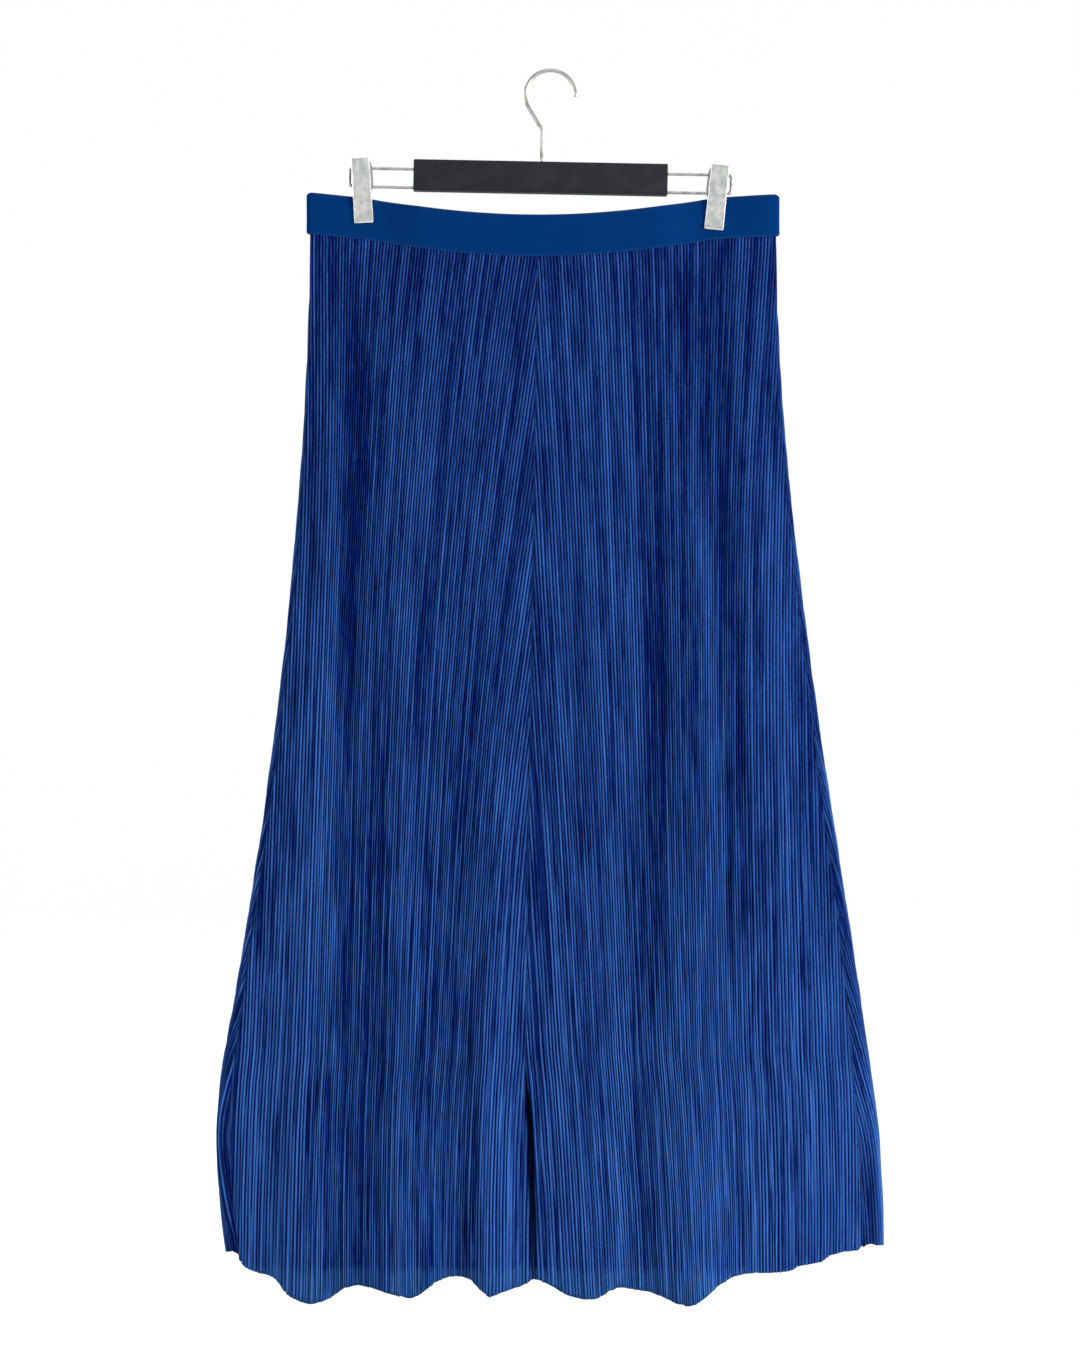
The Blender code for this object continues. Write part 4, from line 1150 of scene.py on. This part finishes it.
EAR_ARM = ((0.0042, -0.0105), (EAR_BACK - 0.0009, -0.0140), (EAR_BACK, 0.0), (EAR_BACK, 0.0060))
SPRING_WIRE, SPRING_TURNS, SPRING_HALF_LENGTH, SPRING_CLEAR = 0.0012, 3, 0.0026, 0.0004


# %% [markdown]
# The plate, the flanges and the ears are made about the slide's wire as the origin, for the back
# jaw, and the front jaw is their mirror image. A float on each point says where a highlight is
# painted on the metal, 1, and where shade is painted on it, -1.

# %% Plates and ears
def plate_line():
    """Side line of a plate's middle as (away from the band, up) points, with soft bends."""
    grip = PINCH_HALF_DEPTH + BAND_WALL / 2 + GAP
    corners = np.array(((CLIP_SPLAY, CLIP_TOP), (CLIP_SPLAY - CLIP_TAPER, -CLIP_BEND),
                        (grip, -CLIP_GRIP), (grip, -CLIP_REACH + CLIP_LIP),
                        (grip + CLIP_FLARE, -CLIP_REACH)))
    corners[:, 0] += CLIP_SHEET / 2
    far = np.concatenate([[0.0], np.cumsum(np.hypot(*np.diff(corners, axis=0).T))])
    even = np.linspace(0.0, far[-1], int(far[-1] / PLATE_STEP) + 1)
    line = np.stack([np.interp(even, far, column) for column in corners.T], 1)
    for _ in range(2):
        line[1:-1] = (line[:-2] + 2 * line[1:-1] + line[2:]) / 4
    return line


def plate_width(up):
    return CLIP_WIDTH - (up + CLIP_WIDTH_DOWN) * CLIP_WIDENING


def add_plate(bm):
    line = plate_line()
    rows = len(line) - 1
    bmesh.ops.create_grid(bm, x_segments=PLATE_COLUMNS, y_segments=rows, size=0.5)
    painted_light_and_shade = bm.verts.layers.float.new("painted_light_and_shade")
    for vert in bm.verts:
        row, column = round((vert.co.y + 0.5) * rows), round(vert.co.x * PLATE_COLUMNS)
        away, up = line[row]
        across = math.copysign(RIM_COLUMN, column) if abs(column) == 2 else vert.co.x
        # A highlight is painted on the outer columns and along the tip.
        vert[painted_light_and_shade] = 1.0 if abs(column) == 3 or row == rows else 0.0
        vert.co = (across * plate_width(up), away, up)
    bevel(bm, [vert for vert in bm.verts if len(vert.link_edges) == 2], CLIP_CORNER, 4, 'VERTICES')


def flange_mesh(sign, flare):
    """A flange from the plate's side: deep in its middle and running out at both ends."""
    line = plate_line()
    bm = bmesh.new()
    bmesh.ops.create_grid(bm, x_segments=3, y_segments=18, size=0.5)
    for vert in bm.verts:
        share, back = vert.co.y + 0.5, vert.co.x + 0.5
        up = FLANGE_FROM + (FLANGE_TO - FLANGE_FROM) * share
        ends = smooth_step(share / FLANGE_RUN_IN) * smooth_step((1 - share) / FLANGE_RUN_OUT)
        reach = back * (FLANGE_LEAST + FLANGE_DEPTH * ends)
        vert.co = (sign * (plate_width(up) / 2 - FLANGE_INSIDE + flare * reach),
                   np.interp(-up, -line[:, 1], line[:, 0]) - reach, up)
    bm.normal_update()
    face_towards(bm, lambda normal: sign * normal.x)
    bmesh.ops.solidify(bm, geom=bm.faces[:], thickness=FLANGE_SHEET)
    return to_mesh("flange", bm, closed=True)


def ear_mesh(middle_x):
    """A boss round the wire with an arm to the plate, cut from sheet."""
    bm = bmesh.new()
    turn = np.radians(EAR_ROUND_FROM + np.linspace(0.0, EAR_ROUND_OVER, EAR_POINTS))
    outer = EAR_BOSS * np.stack([np.cos(turn), np.sin(turn)], 1)
    verts = [bm.verts.new((0.0, away, up)) for away, up in (*outer, *EAR_ARM)]
    edges = [bm.edges.new(pair) for pair in zip(verts, verts[1:] + verts[:1])]
    hole = bmesh.ops.create_circle(bm, cap_ends=False, segments=20, radius=SLIDE_WIRE / 2 + GAP,
                                   matrix=Matrix.Rotation(RIGHT_ANGLE, 4, 'Y'))["verts"]
    edges += [edge for edge in bm.edges if all(vert in hole for vert in edge.verts)]
    bmesh.ops.bridge_loops(bm, edges=edges)
    grown = bmesh.ops.extrude_face_region(bm, geom=bm.faces[:])["geom"]
    bmesh.ops.translate(bm, verts=only(bmesh.types.BMVert, grown), vec=(EAR_SHEET, 0.0, 0.0))
    bmesh.ops.translate(bm, verts=bm.verts, vec=(middle_x - EAR_SHEET / 2, 0.0, 0.0))
    return to_mesh("ear", bm, closed=True)


# %% [markdown]
# A jaw is one mesh. The plate is thickened and its edges are broken first, and then the ears and
# flanges are joined to it, so that they keep their own crisp edges. The ears of the back jaw stand
# inside those of the front one, and each clip leans a little on its wire.

# %% Jaws
def make_jaw(side, along_bar, lean, face, material):
    sheet = bmesh.new()
    add_plate(sheet)
    bmesh.ops.recalc_face_normals(sheet, faces=sheet.faces)
    face_towards(sheet, lambda normal: normal.y)
    for vert in sheet.verts:
        vert.normal_update()
    bmesh.ops.solidify(sheet, geom=sheet.faces[:], thickness=CLIP_SHEET)
    bmesh.ops.translate(sheet, verts=sheet.verts, vec=(0.0, CLIP_SHEET / 2, 0.0))
    bmesh.ops.recalc_face_normals(sheet, faces=sheet.faces)
    bevel(sheet, [edge for edge in sheet.edges
                  if len(edge.link_faces) == 2 and edge.calc_face_angle() > CLIP_SHARP],
          CLIP_ROUND, 2)
    inner = 1 if side == "left" else -1
    for sign in (-1, 1):
        flare = FLANGE_FLARE_INNER if sign == inner else FLANGE_FLARE_OUTER
        # The ears get no painted light, 0; the flanges get painted shade, -1.
        for part, painted_shade in ((ear_mesh(sign * EAR_X[face]), 0.0), (flange_mesh(sign, flare), -1.0)):
            known = set(sheet.verts)
            sheet.from_mesh(part)
            bpy.data.meshes.remove(part)
            painted_light_and_shade = sheet.verts.layers.float["painted_light_and_shade"]
            for vert in sheet.verts:
                if vert not in known:
                    vert[painted_light_and_shade] = painted_shade
    place = (Matrix.Translation(HANGER @ upright(along_bar, SLIDE_UPPER))
             @ Matrix.Rotation(math.radians(lean), 4, 'Y'))
    if face == "front":
        place = place @ Matrix.Diagonal((1.0, -1.0, 1.0, 1.0))
    bmesh.ops.transform(sheet, matrix=place, verts=sheet.verts)
    if face == "front":
        bmesh.ops.reverse_faces(sheet, faces=sheet.faces)
    name = f"clip_{side}_{face}"
    mesh = to_mesh(name, sheet)
    return make_piece(name, mesh, material, [name + "_jaw"], 40.0)


# %% [markdown]
# The spring is wound on the slide between the ears: one arm from under the front pad, three turns
# round the wire, and the other arm to the back pad. A spin that drifts along its axis winds it.

# %% Spring
def make_spring(side, along_bar, material):
    radius = SLIDE_WIRE / 2 + SPRING_CLEAR + SPRING_WIRE / 2
    arm = Vector((-SPRING_HALF_LENGTH, CLIP_SPLAY - SPRING_WIRE / 2 - SPRING_CLEAR,
                  CLIP_TOP - CLIP_LIP))
    start = math.atan2(arm.z, arm.y) + math.acos(radius / math.hypot(arm.y, arm.z))
    end = 2 * math.pi * SPRING_TURNS + math.pi - start
    coil_start = Vector((-SPRING_HALF_LENGTH, radius * math.cos(start), radius * math.sin(start)))
    wire = PulledWire(arm, coil_start - arm, SPRING_WIRE, 10)
    wire.run_to(coil_start)
    wire.bend(Vector(), ALONG_X, end - start, 16 * SPRING_TURNS,
              2 * SPRING_HALF_LENGTH)
    wire.run_to(Vector((SPRING_HALF_LENGTH, -arm.y, arm.z)))
    return wire.finish(f"spring_{side}", material, f"clip_{side}_spring",
                       HANGER @ Matrix.Translation((along_bar, 0.0, SLIDE_UPPER)))


# %% [markdown]
# The wire is bright steel, drawn through a die, so its fine scratches run along it, with a few dull
# patches of tarnish. The clips are zinc plated: the coat has a soft cloudy grain, paler flecks and
# small dull specks. A highlight is painted along the rims, and dark grey shade is painted on the
# flanges, which are also made rougher and hardly metallic. The bar is moulded plastic with a fine
# matt grain; the pigment shows as faint pale specks, and its edges are a little rubbed.

# %% Metals and plastic
steel = Finish("bright_wire", (0.41, 0.405, 0.39), 0.36, 1.0)
drawn = steel.noise((900.0, 5200.0, 5200.0), detail=3.0, roughness=0.6)
tarnish = steel.noise((70.0, 70.0, 110.0), detail=3.0).between(0.46, 0.74)
bright_wire = steel.surface(
    Base_Color=steel.mix(tarnish, steel.mix(drawn, (0.34, 0.335, 0.32), (0.48, 0.475, 0.46)),
                         (0.22, 0.21, 0.19)),
    Roughness=0.28 + 0.10 * drawn + 0.18 * tarnish,
    Normal=steel.bump(drawn, 0.00006, 0.6))

plating = Finish("zinc_plating", (0.47, 0.47, 0.455), 0.45, 1.0)
clouds = plating.noise((190.0, 190.0, 130.0), detail=4.0, roughness=0.62).between(0.30, 0.70)
flakes = plating.noise((900.0, 900.0, 620.0), detail=3.0, roughness=0.7).between(0.34, 0.70)
specks = plating.noise((2300.0, 2300.0, 2300.0), detail=1.0).between(0.62, 0.74)
zinc_grey = plating.mix(clouds, (0.360, 0.370, 0.360), (0.540, 0.540, 0.515))
zinc_grey = plating.mix(flakes * 0.45, zinc_grey, (0.620, 0.630, 0.620))
zinc_grey = plating.mix(specks * 0.35, zinc_grey, (0.200, 0.210, 0.200))
# Painted highlight along the rims.
zinc_grey = plating.mix(plating.attribute("painted_light_and_shade") * 0.85, zinc_grey, (0.860, 0.860, 0.850))
# Painted shade on the flanges: dark grey, rougher and hardly metallic.
painted_flange_shade = (plating.attribute("painted_light_and_shade") * -1.0).clamp()
zinc_grey = plating.mix(painted_flange_shade * 0.92, zinc_grey, (0.230, 0.250, 0.240))
zinc = plating.surface(Base_Color=zinc_grey,
                       Metallic=1.0 - 0.90 * painted_flange_shade,
                       Roughness=0.36 + 0.16 * clouds + 0.10 * specks + 0.45 * painted_flange_shade,
                       Normal=plating.bump(flakes + 0.5 * clouds, 0.00008, 0.5))

plastic = Finish("dark_bar", (0.016, 0.017, 0.022), 0.65, Specular_IOR_Level=0.15)
grain = plastic.noise((2600.0, 2600.0, 2600.0), detail=2.0)
dust = plastic.noise((1500.0, 1500.0, 1500.0), detail=2.0, roughness=0.7).between(0.60, 0.80)
rubbed = plastic.noise((60.0, 60.0, 90.0), detail=3.0).between(0.35, 0.75)
bar_dark = plastic.mix(rubbed, (0.0135, 0.0145, 0.0190), (0.0200, 0.0210, 0.0270))
bar_dark = plastic.mix(dust * 0.30, bar_dark, (0.0900, 0.0950, 0.1050))
dark_plastic = plastic.surface(Base_Color=bar_dark,
                               Roughness=0.58 + 0.14 * grain - 0.08 * rubbed,
                               Normal=plastic.bump(grain, 0.00010, 0.6))

# %% [markdown]
# The hook and the bar come first. Each end then gets its slide, its spring and its two jaws.

# %% Make the hanger
hanger = [make_hook(bright_wire), make_bar(dark_plastic)]
for sign, (side, along_bar, lean) in zip((-1, 1), CLIPS):
    hanger.append(make_slide(side, sign, bright_wire))
    hanger.append(make_spring(side, along_bar, bright_wire))
    hanger += [make_jaw(side, along_bar, lean, face, zinc) for face in ("front", "back")]
print("hanger:", len(hanger), "pieces,", sum(map(triangles, hanger)), "triangles")

# %% [markdown]

# %% [markdown]
# ## Floor, room and light
#
# The skirt hangs in a pale room. The floor is a disc that sweeps up into a wide bowl, so there is
# no corner and no horizon behind the cloth from any side. The bowl is much wider than the circle
# on which a camera may walk round the skirt.

# %% Floor and backdrop
FLOOR_Z = -1.350
FLOOR_RADIUS, SWEEP_RADIUS, WALL_HIGH, ROOM_WELD = 6.0, 1.6, 7.0, 0.0001

paper = Finish("pale_paper", (0.30, 0.30, 0.30), 0.9, Specular_IOR_Level=0.1,
               Emission_Color=(1.0, 1.0, 1.0), Emission_Strength=0.82)
grain = paper.noise((40.0, 40.0, 40.0), detail=3.0)
paper_white = paper.surface(
    Base_Color=paper.mix(grain, (0.29, 0.29, 0.29), (0.31, 0.31, 0.31)),
    Normal=paper.bump(grain, 0.0005, 0.2))


def make_room():
    sweep = [RIGHT_ANGLE * step / 8 for step in range(9)]
    line = ((0.0, 0.0),
            *((FLOOR_RADIUS + SWEEP_RADIUS * math.sin(angle), SWEEP_RADIUS * (1 - math.cos(angle)))
              for angle in sweep),
            (FLOOR_RADIUS + SWEEP_RADIUS, WALL_HIGH))
    bm = bmesh.new()
    verts = [bm.verts.new((out, 0.0, FLOOR_Z + up)) for out, up in line]
    edges = [bm.edges.new(pair) for pair in zip(verts, verts[1:])]
    bmesh.ops.spin(bm, geom=edges, cent=(0.0, 0.0, 0.0), axis=(0.0, 0.0, 1.0),
                   angle=math.tau, steps=64, use_merge=True)
    bmesh.ops.remove_doubles(bm, verts=bm.verts, dist=ROOM_WELD)
    bmesh.ops.recalc_face_normals(bm, faces=bm.faces)
    bmesh.ops.reverse_faces(bm, faces=bm.faces)
    room = to_object("room", to_mesh("room", bm), paper_white, 180.0)
    room.visible_shadow = False
    room.visible_diffuse = False


make_room()

# %% [markdown]
# Pleats show by the light that falls along them. A large soft light comes in low from the right and
# a weaker one from the left, so each pleat has a light and a dark flank, and the white world fills
# the valleys. Two more do the same behind. The view transform is the plain one, so white paper
# stays white. The paper glows a little, which keeps floor and wall one even tone.

# %% Lights
LIGHTS = (
    ("key_light", (3.1, -1.9, -0.5), 1.3, 125.0),
    ("fill_light", (-2.6, -2.6, 0.0), 1.8, 22.0),
    ("top_light", (0.2, -0.8, 2.6), 2.0, 26.0),
    ("back_light", (-3.1, 1.9, 0.3), 1.4, 95.0),
    ("back_fill", (2.4, 2.4, 0.2), 2.0, 26.0),
)
LIGHT_TARGET = Vector((0.0, 0.0, -0.55))
WORLD_STRENGTH = 0.46

for name, place, size, power in LIGHTS:
    lamp = bpy.data.lights.new(name, 'AREA')
    lamp.shape = 'DISK'
    lamp.size = size
    lamp.energy = power
    light = bpy.data.objects.new(name, lamp)
    light.location = place
    light.rotation_euler = (LIGHT_TARGET - Vector(place)).to_track_quat('-Z', 'Y').to_euler()
    bpy.context.scene.collection.objects.link(light)

world = bpy.data.worlds.new("studio")
world.use_nodes = True
background = world.node_tree.nodes["Background"].inputs
background["Color"].default_value = (1.0, 1.0, 1.0, 1.0)
background["Strength"].default_value = WORLD_STRENGTH
bpy.context.scene.world = world
bpy.context.scene.view_settings.view_transform = 'Standard'
